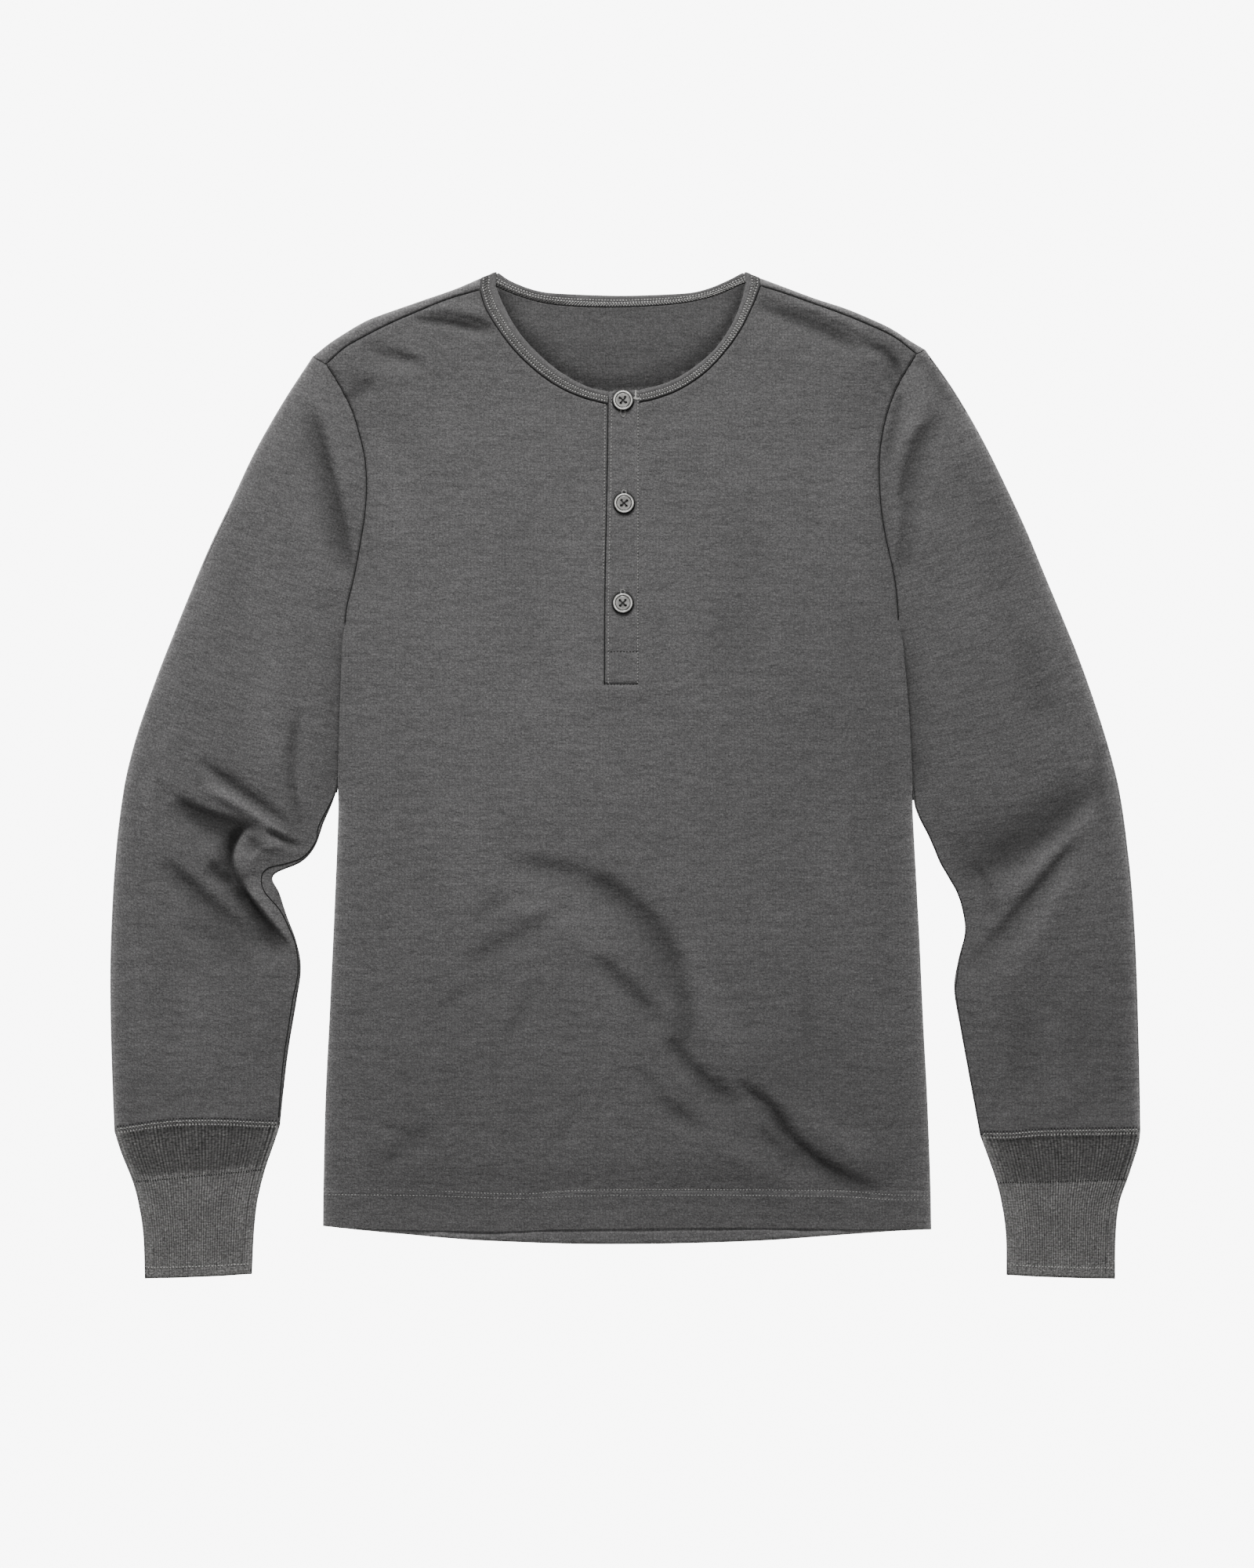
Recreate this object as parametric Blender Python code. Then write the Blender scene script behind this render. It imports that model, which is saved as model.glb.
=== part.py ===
"""Long-sleeved henley shirt laid flat on its back.

Sizes are in millimetres and are turned into metres when a mesh is made. X runs across the shirt,
Y runs from the hem (-) to the neck (+), and Z is up, away from the surface the shirt lies on.
Left and right are the wearer's, so the left arm is on the +X side.
"""
import math

import bmesh
import bpy
import numpy as np
from mathutils import Vector
from mathutils.geometry import delaunay_2d_cdt

MM = 0.001

# Cloth
CLOTH = 1.2
SEAM = 0.3
UPPER = CLOTH + SEAM
FOLD = (UPPER + CLOTH) / 2
FOLD_ANGLES = (45.0, 90.0, 135.0)
HEM_EXTRA = 0.5
BINDING = 1.5
BINDING_FOLD = (2 * BINDING + SEAM) / 2
BINDING_CROWN = 0.25
BAND = 1.5
BAND_LOW = UPPER + CLOTH + SEAM
BUTTON_LOW = BAND_LOW + BAND + SEAM

# How far the upper layer stands off the lower one
BODY_LOFT = 1.8
BODY_REACH = 55.0
ARM_LOFT = 1.6
ARM_REACH = 24.0
CREASE_REACH = 16.0
LIFT_LIMIT = 3.3
HEM_REST = 0.6
HEM_REST_START = -230.0
HEM_REST_LENGTH = 60.0

# Grid cells along each edge
ARMHOLE_CELLS = 14
BACK_ARMHOLE_CELLS = 7
NECK_CELLS = 7
SLIT_CELLS = 9
UNDERARM_CELLS = 3
BODY_CELLS = 14
FRONT_COLUMNS = 12
SHOULDER_CELLS = 6
BACK_NECK_CELLS = 8
BACK_SIDE_CELLS = 9
BAND_COLUMNS = 3
CUFF_RIBS = 48
CUFF_LOWER_CELLS = 12
PATH_STEPS = 12

# Heights on the body where the cells change size, and where the centre line starts down
UNDERARM_END_Y = 60.0
CENTRE_START_Y = 0.0

# Seams and edges, x and y of the points they pass through
ARMHOLE_RIGHT = ((-229.4, 306.8), (-219.6, 301.0), (-212.7, 290.7), (-205.3, 277.4), (-199.5, 264.8),
                 (-195.0, 249.3), (-191.3, 233.0), (-189.9, 213.0), (-191.3, 190.6), (-194.9, 168.0),
                 (-199.4, 144.0), (-204.3, 124.0), (-205.8, 111.3))
ARMHOLE_LEFT = ((219.6, 311.9), (213.3, 308.5), (207.2, 298.7), (200.1, 286.6), (195.4, 276.0),
                (191.6, 264.5), (188.6, 252.1), (186.5, 237.8), (185.9, 220.5), (187.4, 195.2),
                (191.0, 173.0), (195.2, 154.4), (198.2, 137.0), (200.1, 114.1))
SIDE_RIGHT = ((-205.8, 111.3), (-206.9, 79.6), (-208.3, 39.4), (-209.7, -6.6), (-211.8, -64.1),
              (-214.3, -121.6), (-217.0, -179.1), (-219.8, -236.6), (-221.2, -294.1), (-221.7, -330.5))
SIDE_LEFT = ((200.1, 114.1), (203.6, 79.6), (206.9, 39.4), (209.3, -6.6), (212.3, -64.1),
             (215.4, -121.6), (218.0, -179.1), (221.0, -236.6), (223.2, -294.1), (224.0, -333.0))
SHOULDER_SEAM_RIGHT = ((-219.6, 301.0), (-207.6, 312.0), (-196.6, 318.8), (-174.2, 330.3),
                       (-152.4, 339.8), (-130.5, 348.7), (-106.9, 355.6))
SHOULDER_SEAM_LEFT = ((213.3, 308.5), (197.8, 320.6), (181.1, 328.8), (159.3, 337.8), (136.8, 345.9),
                      (115.0, 353.6), (98.7, 358.5))
SHOULDER_FOLD_RIGHT = ((-229.4, 306.8), (-217.3, 316.5), (-205.8, 324.0), (-194.3, 330.9),
                       (-182.8, 336.1), (-148.3, 348.2), (-125.3, 356.2), (-106.4, 364.3))
SHOULDER_FOLD_LEFT = ((219.6, 311.9), (208.1, 318.8), (196.6, 326.3), (185.1, 332.1), (162.1, 341.8),
                      (139.1, 349.3), (116.1, 357.9), (98.9, 364.3))
NECK_SEAM_RIGHT = ((-106.9, 355.6), (-100.8, 338.6), (-84.1, 314.0), (-66.5, 296.4), (-48.9, 284.0),
                   (-31.3, 276.2), (-13.0, 271.3))
NECK_SEAM_LEFT = ((98.7, 358.5), (93.7, 345.4), (83.4, 324.6), (70.7, 307.4), (56.9, 293.5),
                  (39.1, 281.9), (21.3, 275.1), (10.1, 272.6))
NECK_EDGE_RIGHT = ((-95.4, 357.9), (-89.4, 343.4), (-78.8, 324.6), (-62.9, 306.9), (-45.4, 293.0),
                   (-27.7, 283.8), (-13.0, 280.3))
NECK_EDGE_LEFT = ((88.3, 360.2), (85.3, 347.6), (77.6, 329.0), (65.5, 311.4), (47.7, 296.4),
                  (30.5, 286.9), (10.1, 281.2))
BACK_NECK_SEAM = ((-106.4, 364.3), (-94.9, 357.9), (-78.8, 351.0), (-57.5, 345.3), (-31.0, 343.0),
                  (1.1, 342.8), (39.1, 345.3), (65.5, 351.0), (85.1, 359.4), (98.9, 364.3))
BACK_NECK_EDGE = ((-94.6, 368.9), (-83.9, 361.8), (-66.7, 355.3), (-48.9, 352.8), (-3.4, 351.2),
                  (41.4, 352.8), (58.6, 355.8), (74.2, 362.0), (87.4, 368.9))
FRONT_HEM_RIGHT = ((-221.7, -330.5), (-192.0, -332.8), (-96.6, -335.0), (-53.0, -333.4), (-9.6, -333.0))
FRONT_HEM_LEFT = ((7.0, -333.0), (59.8, -332.2), (133.4, -332.8), (177.1, -333.4), (224.0, -333.0))
BACK_HEM = ((-221.7, -330.5), (-193.8, -333.6), (-155.5, -337.1), (-119.0, -340.3), (-82.0, -342.2),
            (-38.5, -343.6), (1.1, -343.8), (52.0, -343.0), (104.0, -341.0), (148.0, -337.8),
            (192.0, -334.6), (224.0, -333.0))

# Placket, x and y
SLIT_RIGHT = ((-9.6, 270.9), (-10.6, 200.0), (-11.4, 130.0), (-11.8, 69.6))
SLIT_LEFT = ((7.0, 272.4), (7.0, 200.0), (7.0, 130.0), (7.0, 69.6))
BAND_EDGE_RIGHT = ((-12.6, 280.3), (-13.2, 210.0), (-14.6, 140.0), (-15.0, 66.4))
BAND_EDGE_LEFT = ((9.8, 280.9), (9.8, 210.0), (9.6, 140.0), (9.4, 66.4))
BAND_CELLS = 9
HEM_FOLD_Y = -304.5
HEM_STEP = 1.5

# Sleeves, one row per section: outer edge x and y, underarm edge x and y
SLEEVE_RIGHT = (
    (-229.4, 306.8, -205.8, 111.3),
    (-250.7, 274.0, -206.9, 90.0),
    (-271.4, 237.8, -207.6, 69.3),
    (-288.6, 201.5, -208.5, 48.0),
    (-304.8, 167.6, -209.2, 26.7),
    (-319.1, 133.7, -209.9, 7.2),
    (-331.2, 103.8, -211.4, -8.9),
    (-342.1, 76.2, -215.4, -21.6),
    (-350.8, 52.0, -221.4, -35.4),
    (-357.6, 31.9, -227.7, -52.6),
    (-362.8, 13.5, -238.0, -64.1),
    (-366.8, -3.7, -258.2, -73.9),
    (-369.7, -21.6, -253.6, -87.1),
    (-372.6, -44.6, -248.4, -103.2),
    (-374.9, -71.0, -241.5, -121.6),
    (-376.6, -99.8, -238.0, -141.7),
    (-377.8, -134.3, -241.5, -167.6),
    (-377.8, -173.4, -247.2, -202.1),
    (-376.6, -219.4, -251.3, -236.6),
    (-374.9, -261.3, -253.3, -256.7),
)
SLEEVE_LEFT = (
    (219.6, 311.9, 200.1, 114.1),
    (240.3, 282.6, 202.9, 92.3),
    (259.9, 249.3, 205.1, 70.4),
    (277.1, 215.3, 206.7, 49.7),
    (293.2, 180.8, 208.1, 29.0),
    (307.0, 147.5, 209.2, 9.5),
    (319.7, 117.0, 210.3, -8.3),
    (331.2, 88.8, 212.0, -22.7),
    (340.4, 63.5, 216.2, -33.6),
    (348.4, 39.4, 221.4, -43.4),
    (355.3, 16.4, 226.0, -53.8),
    (361.1, -6.6, 230.6, -64.7),
    (365.1, -29.6, 236.9, -75.6),
    (368.0, -52.6, 243.2, -87.1),
    (370.3, -72.7, 247.2, -100.3),
    (372.0, -92.9, 248.7, -115.9),
    (373.7, -118.7, 243.8, -136.0),
    (374.9, -147.5, 240.9, -157.3),
    (376.0, -182.0, 245.5, -186.0),
    (376.9, -219.4, 251.8, -220.5),
    (377.6, -261.3, 259.9, -264.4),
)
UNDERARM_SPACE = 0.45
UNDERARM_TOUCH_Y = -10.0
UNDERARM_TOUCH_LENGTH = 30.0

# Cuffs, one row per section: outer edge x and y, inner edge x and y
CUFF_RIGHT = (
    (-374.9, -261.3, -253.3, -256.7),
    (-369.7, -277.4, -257.3, -269.0),
    (-361.1, -299.1, -264.5, -290.0),
    (-356.5, -317.7, -270.0, -313.0),
    (-353.6, -338.7, -272.5, -336.7),
    (-352.6, -368.9, -273.9, -365.6),
)
CUFF_LEFT = (
    (377.6, -261.3, 259.9, -264.4),
    (376.0, -271.7, 263.7, -274.6),
    (369.0, -293.8, 271.4, -296.5),
    (362.0, -314.3, 276.0, -315.7),
    (359.4, -338.7, 278.9, -337.7),
    (359.0, -369.1, 279.2, -366.3),
)
CUFF_SEAM_RIGHT = ((-374.9, -261.3), (-336.0, -255.4), (-298.0, -254.4), (-253.3, -256.7))
CUFF_SEAM_LEFT = ((377.6, -261.3), (331.0, -261.6), (302.0, -262.4), (281.0, -264.0), (259.9, -264.4))
RIB_HEIGHT = 0.4

# Creases, one row each: start x and y, bend x and y, end x and y, half width, height
BODY_CREASES = (
    (-72.0, -64.0, 14.0, -76.0, 41.0, -165.0, 13.0, -1.5),
    (40.0, -155.0, 34.0, -214.0, 90.0, -244.0, 12.0, -1.5),
    (-78.0, -86.0, -6.0, -92.0, 22.0, -176.0, 14.0, 1.4),
    (62.0, -120.0, 60.0, -200.0, 110.0, -232.0, 14.0, 1.2),
    (84.0, -228.0, 132.0, -266.0, 186.0, -304.0, 12.0, -1.4),
    (70.0, -256.0, 118.0, -292.0, 150.0, -306.0, 14.0, 1.2),
    (-126.0, -137.0, -86.0, -124.0, -40.0, -96.0, 15.0, -1.0),
    (-174.0, -288.0, -156.0, -268.0, -140.0, -262.0, 13.0, -0.9),
    (-190.0, 270.0, -172.0, 236.0, -170.0, 196.0, 15.0, 0.9),
    (176.0, 262.0, 158.0, 226.0, 160.0, 190.0, 15.0, 0.9),
    (136.0, 20.0, 150.0, -60.0, 138.0, -130.0, 20.0, 0.8),
    (-150.0, 40.0, -158.0, -40.0, -146.0, -110.0, 20.0, 0.8),
)
RIGHT_ARM_CREASES = (
    (-316.0, 13.0, -272.0, -21.0, -236.0, -56.0, 10.0, -1.5),
    (-326.0, -10.0, -280.0, -24.0, -240.0, -52.0, 9.0, 1.6),
    (-339.0, -12.0, -302.0, -34.0, -258.0, -60.0, 9.0, -1.4),
    (-331.0, -74.0, -302.0, -100.0, -262.0, -136.0, 10.0, -1.3),
    (-318.0, -52.0, -296.0, -66.0, -262.0, -90.0, 10.0, 1.5),
    (-228.0, 248.0, -210.0, 208.0, -204.0, 160.0, 12.0, -1.0),
    (-262.0, 214.0, -252.0, 150.0, -262.0, 96.0, 16.0, 1.0),
)
LEFT_ARM_CREASES = (
    (344.0, -4.0, 306.0, -40.0, 240.0, -68.0, 12.0, -1.5),
    (346.0, -18.0, 300.0, -72.0, 268.0, -94.0, 10.0, 1.5),
    (343.0, -34.0, 300.0, -88.0, 250.0, -150.0, 9.0, -1.6),
    (220.0, 290.0, 232.0, 278.0, 242.0, 258.0, 11.0, -1.2),
    (217.0, 257.0, 206.0, 236.0, 205.0, 206.0, 11.0, -1.0),
    (256.0, 210.0, 250.0, 150.0, 262.0, 96.0, 16.0, 1.0),
)

# Buttons: x and y of each centre, and the section from the middle out
BUTTON_CENTRES = ((-1.9, 273.8), (-1.1, 198.6), (-2.0, 125.6))
BUTTON_SIDES = 24
BUTTON_HOLE_SIDES = 6
BUTTON_HOLE_RADIUS = 0.95
BUTTON_HOLE_OFFSET = 1.95
BUTTON_HOLE_CORE = 0.8
BUTTON_WELL_RADIUS = 4.4
BUTTON_WELL_HEIGHT = 1.7
BUTTON_PROFILE = ((5.6, 2.1), (6.5, 2.6), (7.2, 2.2), (7.4, 1.2), (6.4, 0.0))
SAME_POINT = 1e-5

# Colour as linear light, and roughness, of each material
COLOURS = {
    "jersey": (0.125, 0.122, 0.122, 1.0),
    "rib": (0.105, 0.102, 0.102, 1.0),
    "binding": (0.130, 0.128, 0.128, 1.0),
    "button": (0.200, 0.198, 0.195, 1.0),
}
ROUGHNESS = {"jersey": 0.9, "rib": 0.9, "binding": 0.9, "button": 0.35}


def clear_scene():
    for thing in list(bpy.data.objects):
        bpy.data.objects.remove(thing, do_unlink=True)


def smooth(value):
    t = np.clip(value, 0.0, 1.0)
    return t * t * (3.0 - 2.0 * t)


def unit(vector):
    return vector / np.linalg.norm(vector)


def dense(points, steps=PATH_STEPS):
    """A smooth path through the points."""
    p = np.array(points, dtype=float)
    ends = np.vstack((2 * p[0] - p[1], p, 2 * p[-1] - p[-2]))
    path = [p[0]]
    for i in range(len(p) - 1):
        a, b, c, d = ends[i:i + 4]
        for k in range(1, steps + 1):
            t = k / steps
            m0 = 0.5 * (c - a)
            m1 = 0.5 * (d - b)
            h = c - b
            path.append(b + m0 * t + (3 * h - 2 * m0 - m1) * t ** 2 + (m0 + m1 - 2 * h) * t ** 3)
    return np.array(path)


def lengths(path):
    steps = np.linalg.norm(np.diff(path, axis=0), axis=1)
    return np.concatenate(([0.0], np.cumsum(steps)))


def resample(path, fractions):
    run = lengths(path)
    want = np.array(fractions) * run[-1]
    return np.column_stack((np.interp(want, run, path[:, 0]), np.interp(want, run, path[:, 1])))


def spaced(points, cells):
    """The ends of equal lengths along a smooth path."""
    return resample(dense(points), np.linspace(0.0, 1.0, cells + 1))


def joined(*paths):
    rows = [paths[0]]
    for path in paths[1:]:
        rows.append(path[1:])
    return np.vstack(rows)


def coons(top, bottom, left, right):
    """A grid of points inside four edges; rows run from left to right, the first along top."""
    across = 0.5 * (lengths(top) / lengths(top)[-1] + lengths(bottom) / lengths(bottom)[-1])
    down = 0.5 * (lengths(left) / lengths(left)[-1] + lengths(right) / lengths(right)[-1])
    v = across[None, :, None]
    u = down[:, None, None]
    sides = (1 - v) * left[:, None, :] + v * right[:, None, :]
    ends = (1 - u) * top[None, :, :] + u * bottom[None, :, :]
    corners = (1 - u) * ((1 - v) * top[0] + v * top[-1]) + u * ((1 - v) * bottom[0] + v * bottom[-1])
    return sides + ends - corners


def turned(vector):
    return np.array((-vector[1], vector[0]))


def shifted(path, amount):
    """The path moved sideways, to the left of its travel when the amount is positive."""
    result = []
    for i in range(len(path)):
        before = turned(unit(path[i] - path[i - 1])) if i > 0 else None
        after = turned(unit(path[i + 1] - path[i])) if i < len(path) - 1 else None
        before = after if before is None else before
        after = before if after is None else after
        result.append(path[i] + amount * (before + after) / (1.0 + before @ after))
    return np.array(result)


def inset_loop(loop, amount):
    """A closed outline drawn in by the amount on every side."""
    area = 0.5 * np.sum(loop[:, 0] * np.roll(loop[:, 1], -1) - np.roll(loop[:, 0], -1) * loop[:, 1])
    side = amount if area > 0 else -amount
    result = np.empty_like(loop)
    for i in range(len(loop)):
        before = turned(unit(loop[i] - loop[i - 1]))
        after = turned(unit(loop[(i + 1) % len(loop)] - loop[i]))
        result[i] = loop[i] + side * (before + after) / (1.0 + before @ after)
    return result


def boundary_loop(cells):
    """Corner numbers round the outside of a sheet of cells, in order."""
    seen = {}
    for cell in cells:
        for a, b in zip(cell, cell[1:] + cell[:1]):
            seen[(a, b)] = True
    after = {a: b for (a, b) in seen if (b, a) not in seen}
    start = next(iter(after))
    loop = [start]
    while after[loop[-1]] != start:
        loop.append(after[loop[-1]])
    return loop


def distance(points, path):
    """The distance from each point to a path of straight pieces."""
    start = path[:-1]
    step = path[1:] - start
    away = points[:, None, :] - start[None, :, :]
    along = np.clip((away * step).sum(2) / (step * step).sum(1), 0.0, 1.0)
    return np.linalg.norm(away - along[:, :, None] * step, axis=2).min(1)


def crease_height(points, rows):
    """The sum of soft ridges and troughs at each point."""
    total = np.zeros(len(points))
    t = np.linspace(0.0, 1.0, PATH_STEPS + 1)[:, None]
    for x0, y0, x1, y1, x2, y2, half_width, height in rows:
        ends = (1 - t) ** 2 * np.array((x0, y0)) + t ** 2 * np.array((x2, y2))
        path = ends + 2 * t * (1 - t) * np.array((x1, y1))
        total += height * np.exp(-(distance(points, path) / half_width) ** 2)
    return total


def lift(points, edges, loft, reach, creases):
    """How far the upper layer stands up at each point, nothing along its sewn edges."""
    flat = points.reshape(-1, 2)
    away = np.min([distance(flat, edge) for edge in edges], axis=0)
    height = loft * smooth(away / reach)
    height += crease_height(flat, creases) * smooth(away / CREASE_REACH)
    return np.clip(height, 0.0, LIFT_LIMIT).reshape(points.shape[:-1])


def body_lift(points):
    edges = (np.array(SHOULDER_SEAM_RIGHT), np.array(SHOULDER_SEAM_LEFT), np.array(ARMHOLE_RIGHT),
             np.array(ARMHOLE_LEFT), np.array(SIDE_RIGHT), np.array(SIDE_LEFT))
    height = lift(points, edges, BODY_LOFT, BODY_REACH, BODY_CREASES)
    rest = smooth((HEM_REST_START - points[..., 1]) / HEM_REST_LENGTH)
    return height * (1.0 - (1.0 - HEM_REST) * rest)


def arm_lift(points, sleeve, cuff, armhole, creases):
    rows = np.array(sleeve + cuff[1:])
    edges = (rows[:, 0:2], rows[:, 2:4], np.array(armhole))
    return lift(points, edges, ARM_LOFT, ARM_REACH, creases)


def triangles(cell, places):
    """A cell cut along the diagonal that leaves the fuller triangles."""
    if len(cell) == 3:
        return [tuple(cell)]
    a, b, c, d = cell

    def area(i, j, k):
        return np.linalg.norm(np.cross(places[j] - places[i], places[k] - places[i]))

    one = min(area(a, b, c), area(a, c, d))
    two = min(area(a, b, d), area(b, c, d))
    if one >= two:
        return [(a, b, c), (a, c, d)]
    return [(a, b, d), (b, c, d)]


def add_object(name, places, faces, slot, smooth_faces=False):
    mesh = bpy.data.meshes.new(name)
    mesh.from_pydata([tuple(p * MM) for p in places], [], faces)
    bm = bmesh.new()
    bm.from_mesh(mesh)
    bmesh.ops.recalc_face_normals(bm, faces=bm.faces)
    bm.to_mesh(mesh)
    bm.free()
    if smooth_faces:
        mesh.polygons.foreach_set("use_smooth", [True] * len(mesh.polygons))
    mesh.materials.append(material(name, slot))
    thing = bpy.data.objects.new(name, mesh)
    bpy.context.scene.collection.objects.link(thing)
    return thing


def material(name, slot):
    made = bpy.data.materials.new(name)
    made.use_nodes = True
    shader = made.node_tree.nodes["Principled BSDF"]
    shader.inputs["Base Color"].default_value = COLOURS[slot]
    shader.inputs["Roughness"].default_value = ROUGHNESS[slot]
    return made


def wall(name, outer, inner, cells, slot):
    """A closed wall between two matching sheets of points."""
    count = len(outer)
    places = np.vstack((outer, inner))
    faces = []
    edges = {}
    for cell in cells:
        for a, b in zip(cell, cell[1:] + cell[:1]):
            edges[(a, b)] = True
        for a, b, c in triangles(cell, outer):
            faces.append((a, b, c))
            faces.append((c + count, b + count, a + count))
    for a, b in edges:
        if (b, a) not in edges:
            faces.append((a, a + count, b + count))
            faces.append((a, b + count, b))
    used = sorted({i for face in faces for i in face})
    renumber = {old: new for new, old in enumerate(used)}
    faces = [tuple(renumber[i] for i in face) for face in faces]
    return add_object(name, places[used], faces, slot)


def grid_cells(numbers):
    """Cells of a grid of corner numbers; a missing corner (-1) leaves its cells out."""
    cells = []
    for i in range(numbers.shape[0] - 1):
        for j in range(numbers.shape[1] - 1):
            cell = [numbers[i, j], numbers[i + 1, j], numbers[i + 1, j + 1], numbers[i, j + 1]]
            if min(cell) >= 0:
                cells.append([int(k) for k in cell])
    return cells


def with_z(points, z):
    return np.column_stack((points, np.broadcast_to(z, len(points))))


def split_path(points, y_stops, cells):
    """A path cut at heights, each length having its own number of cells."""
    path = dense(points)
    run = lengths(path)
    stops = [0.0]
    for y in y_stops:
        stops.append(float(np.interp(-y, -path[:, 1], run)))
    stops.append(run[-1])
    fractions = [0.0]
    for low, high, count in zip(stops[:-1], stops[1:], cells):
        fractions.extend(list(np.linspace(low, high, count + 1)[1:] / run[-1]))
    return resample(path, fractions)


def upper_armhole(points):
    """The armhole of the upper layer: from the fold to the shoulder seam, then to the underarm."""
    return joined(np.array(points[:2]), spaced(points[1:], ARMHOLE_CELLS))


def doubled(path):
    """The path with a point put in the middle of each piece."""
    rows = [path[0]]
    for a, b in zip(path[:-1], path[1:]):
        rows.extend(((a + b) / 2, b))
    return np.array(rows)


def front_half(armhole, side, shoulder, neck, slit, hem, outer_first):
    """The grid of one front half, from its shoulder seam down to the hem."""
    centre_end = hem[-1] if outer_first else hem[0]
    stops = (HEM_FOLD_Y, HEM_FOLD_Y - HEM_STEP)
    low_side = split_path(side, (UNDERARM_END_Y,) + stops, (UNDERARM_CELLS, BODY_CELLS, 1, 1))
    outer = joined(upper_armhole(armhole)[1:], low_side)
    neck_path = joined(spaced(neck, NECK_CELLS), np.array((neck[-1], slit[0])))
    slit_path = spaced(slit, SLIT_CELLS)
    bend = (slit[-1][0], CENTRE_START_Y)
    centre = split_path((slit[-1], bend, centre_end), stops, (BODY_CELLS, 1, 1))
    inner = joined(neck_path, slit_path, centre)
    top = doubled(spaced(shoulder, SHOULDER_CELLS))
    bottom = spaced(hem if outer_first else hem[::-1], FRONT_COLUMNS)
    return coons(top, bottom, outer, inner)


def make_front():
    right = front_half(ARMHOLE_RIGHT, SIDE_RIGHT, SHOULDER_SEAM_RIGHT, NECK_SEAM_RIGHT, SLIT_RIGHT,
                       FRONT_HEM_RIGHT, True)
    left = front_half(ARMHOLE_LEFT, SIDE_LEFT, SHOULDER_SEAM_LEFT, NECK_SEAM_LEFT, SLIT_LEFT,
                      FRONT_HEM_LEFT, False)[:, ::-1]
    rows = right.shape[0]
    middle = 0.5 * (right[:, -1:] + left[:, :1])
    grid = np.concatenate((right, middle, left), axis=1)
    numbers = np.arange(grid.shape[0] * grid.shape[1]).reshape(grid.shape[:2])
    slit_end = NECK_CELLS + 1 + SLIT_CELLS
    corners = numbers.copy()
    corners[:slit_end, FRONT_COLUMNS + 1] = -1
    cells = grid_cells(corners)
    flat = grid.reshape(-1, 2)
    loop = boundary_loop(cells)
    flat[loop] = inset_loop(flat[loop], SEAM / 2)
    height = body_lift(flat)
    hem = np.zeros(grid.shape[:2])
    hem[rows - 2:] = HEM_EXTRA
    outer = with_z(flat, UPPER + CLOTH + height + hem.ravel())
    inner = with_z(flat, UPPER + height)
    wall("front_panel", outer, inner, cells, "jersey")


def fold_rows(edge, seam, radius, thickness):
    """Rows of a cloth turned over at an edge and brought back above itself as far as its seam."""
    out = np.array([unit(a - b) for a, b in zip(edge, seam)])
    base = edge - radius * out
    outer = [with_z(base, 0.0)]
    inner = [with_z(base, thickness)]
    for angle in FOLD_ANGLES:
        reach = math.sin(math.radians(angle))
        rise = math.cos(math.radians(angle))
        small = radius - thickness
        outer.append(with_z(base + radius * reach * out, radius - radius * rise))
        inner.append(with_z(base + small * reach * out, radius - small * rise))
    outer.append(with_z(base, 2 * radius))
    inner.append(with_z(base, 2 * radius - thickness))
    return outer, inner


def make_back():
    fold_right = spaced(SHOULDER_FOLD_RIGHT, SHOULDER_CELLS)
    fold_left = spaced(SHOULDER_FOLD_LEFT, SHOULDER_CELLS)
    neck = spaced(BACK_NECK_SEAM, BACK_NECK_CELLS)
    top = joined(fold_right, neck, fold_left[::-1])
    bottom = spaced(BACK_HEM, len(top) - 1)
    right = joined(spaced(ARMHOLE_RIGHT, BACK_ARMHOLE_CELLS), spaced(SIDE_RIGHT, BACK_SIDE_CELLS))
    left = joined(spaced(ARMHOLE_LEFT, BACK_ARMHOLE_CELLS), spaced(SIDE_LEFT, BACK_SIDE_CELLS))
    grid = coons(top, bottom, right, left)
    numbers = np.arange(grid.shape[0] * grid.shape[1]).reshape(grid.shape[:2])
    cells = grid_cells(numbers)
    flat = grid.reshape(-1, 2)
    loop = boundary_loop(cells)
    flat[loop] = inset_loop(flat[loop], SEAM / 2)
    outer = [with_z(flat, 0.0)]
    inner = [with_z(flat, CLOTH)]
    count = len(flat)
    last = len(top) - 1
    for seam_points, fold, columns in (
            (SHOULDER_SEAM_RIGHT, fold_right, range(SHOULDER_CELLS + 1)),
            (SHOULDER_SEAM_LEFT, fold_left, range(last, last - SHOULDER_CELLS - 1, -1))):
        seam = spaced(seam_points, SHOULDER_CELLS)
        outline = inset_loop(np.vstack((fold, seam[::-1])), SEAM / 2)
        edge = outline[:len(fold)]
        seam = outline[len(fold):][::-1]
        outer_rows, inner_rows = fold_rows(edge, seam, FOLD, CLOTH)
        columns = list(columns)
        outer[0][columns] = outer_rows[0]
        inner[0][columns] = inner_rows[0]
        outer_rows.append(with_z(seam, 2 * FOLD))
        inner_rows.append(with_z(seam, UPPER))
        strip = [columns]
        for row_outer, row_inner in zip(outer_rows[1:], inner_rows[1:]):
            strip.append(list(range(count, count + len(seam))))
            outer.append(row_outer)
            inner.append(row_inner)
            count += len(seam)
        strip = np.array(strip)
        if columns[0] < columns[-1]:
            strip = strip[::-1]
        else:
            strip = strip[::-1, ::-1]
        cells.extend(grid_cells(strip))
    wall("back_panel", np.vstack(outer), np.vstack(inner), cells, "jersey")


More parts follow.
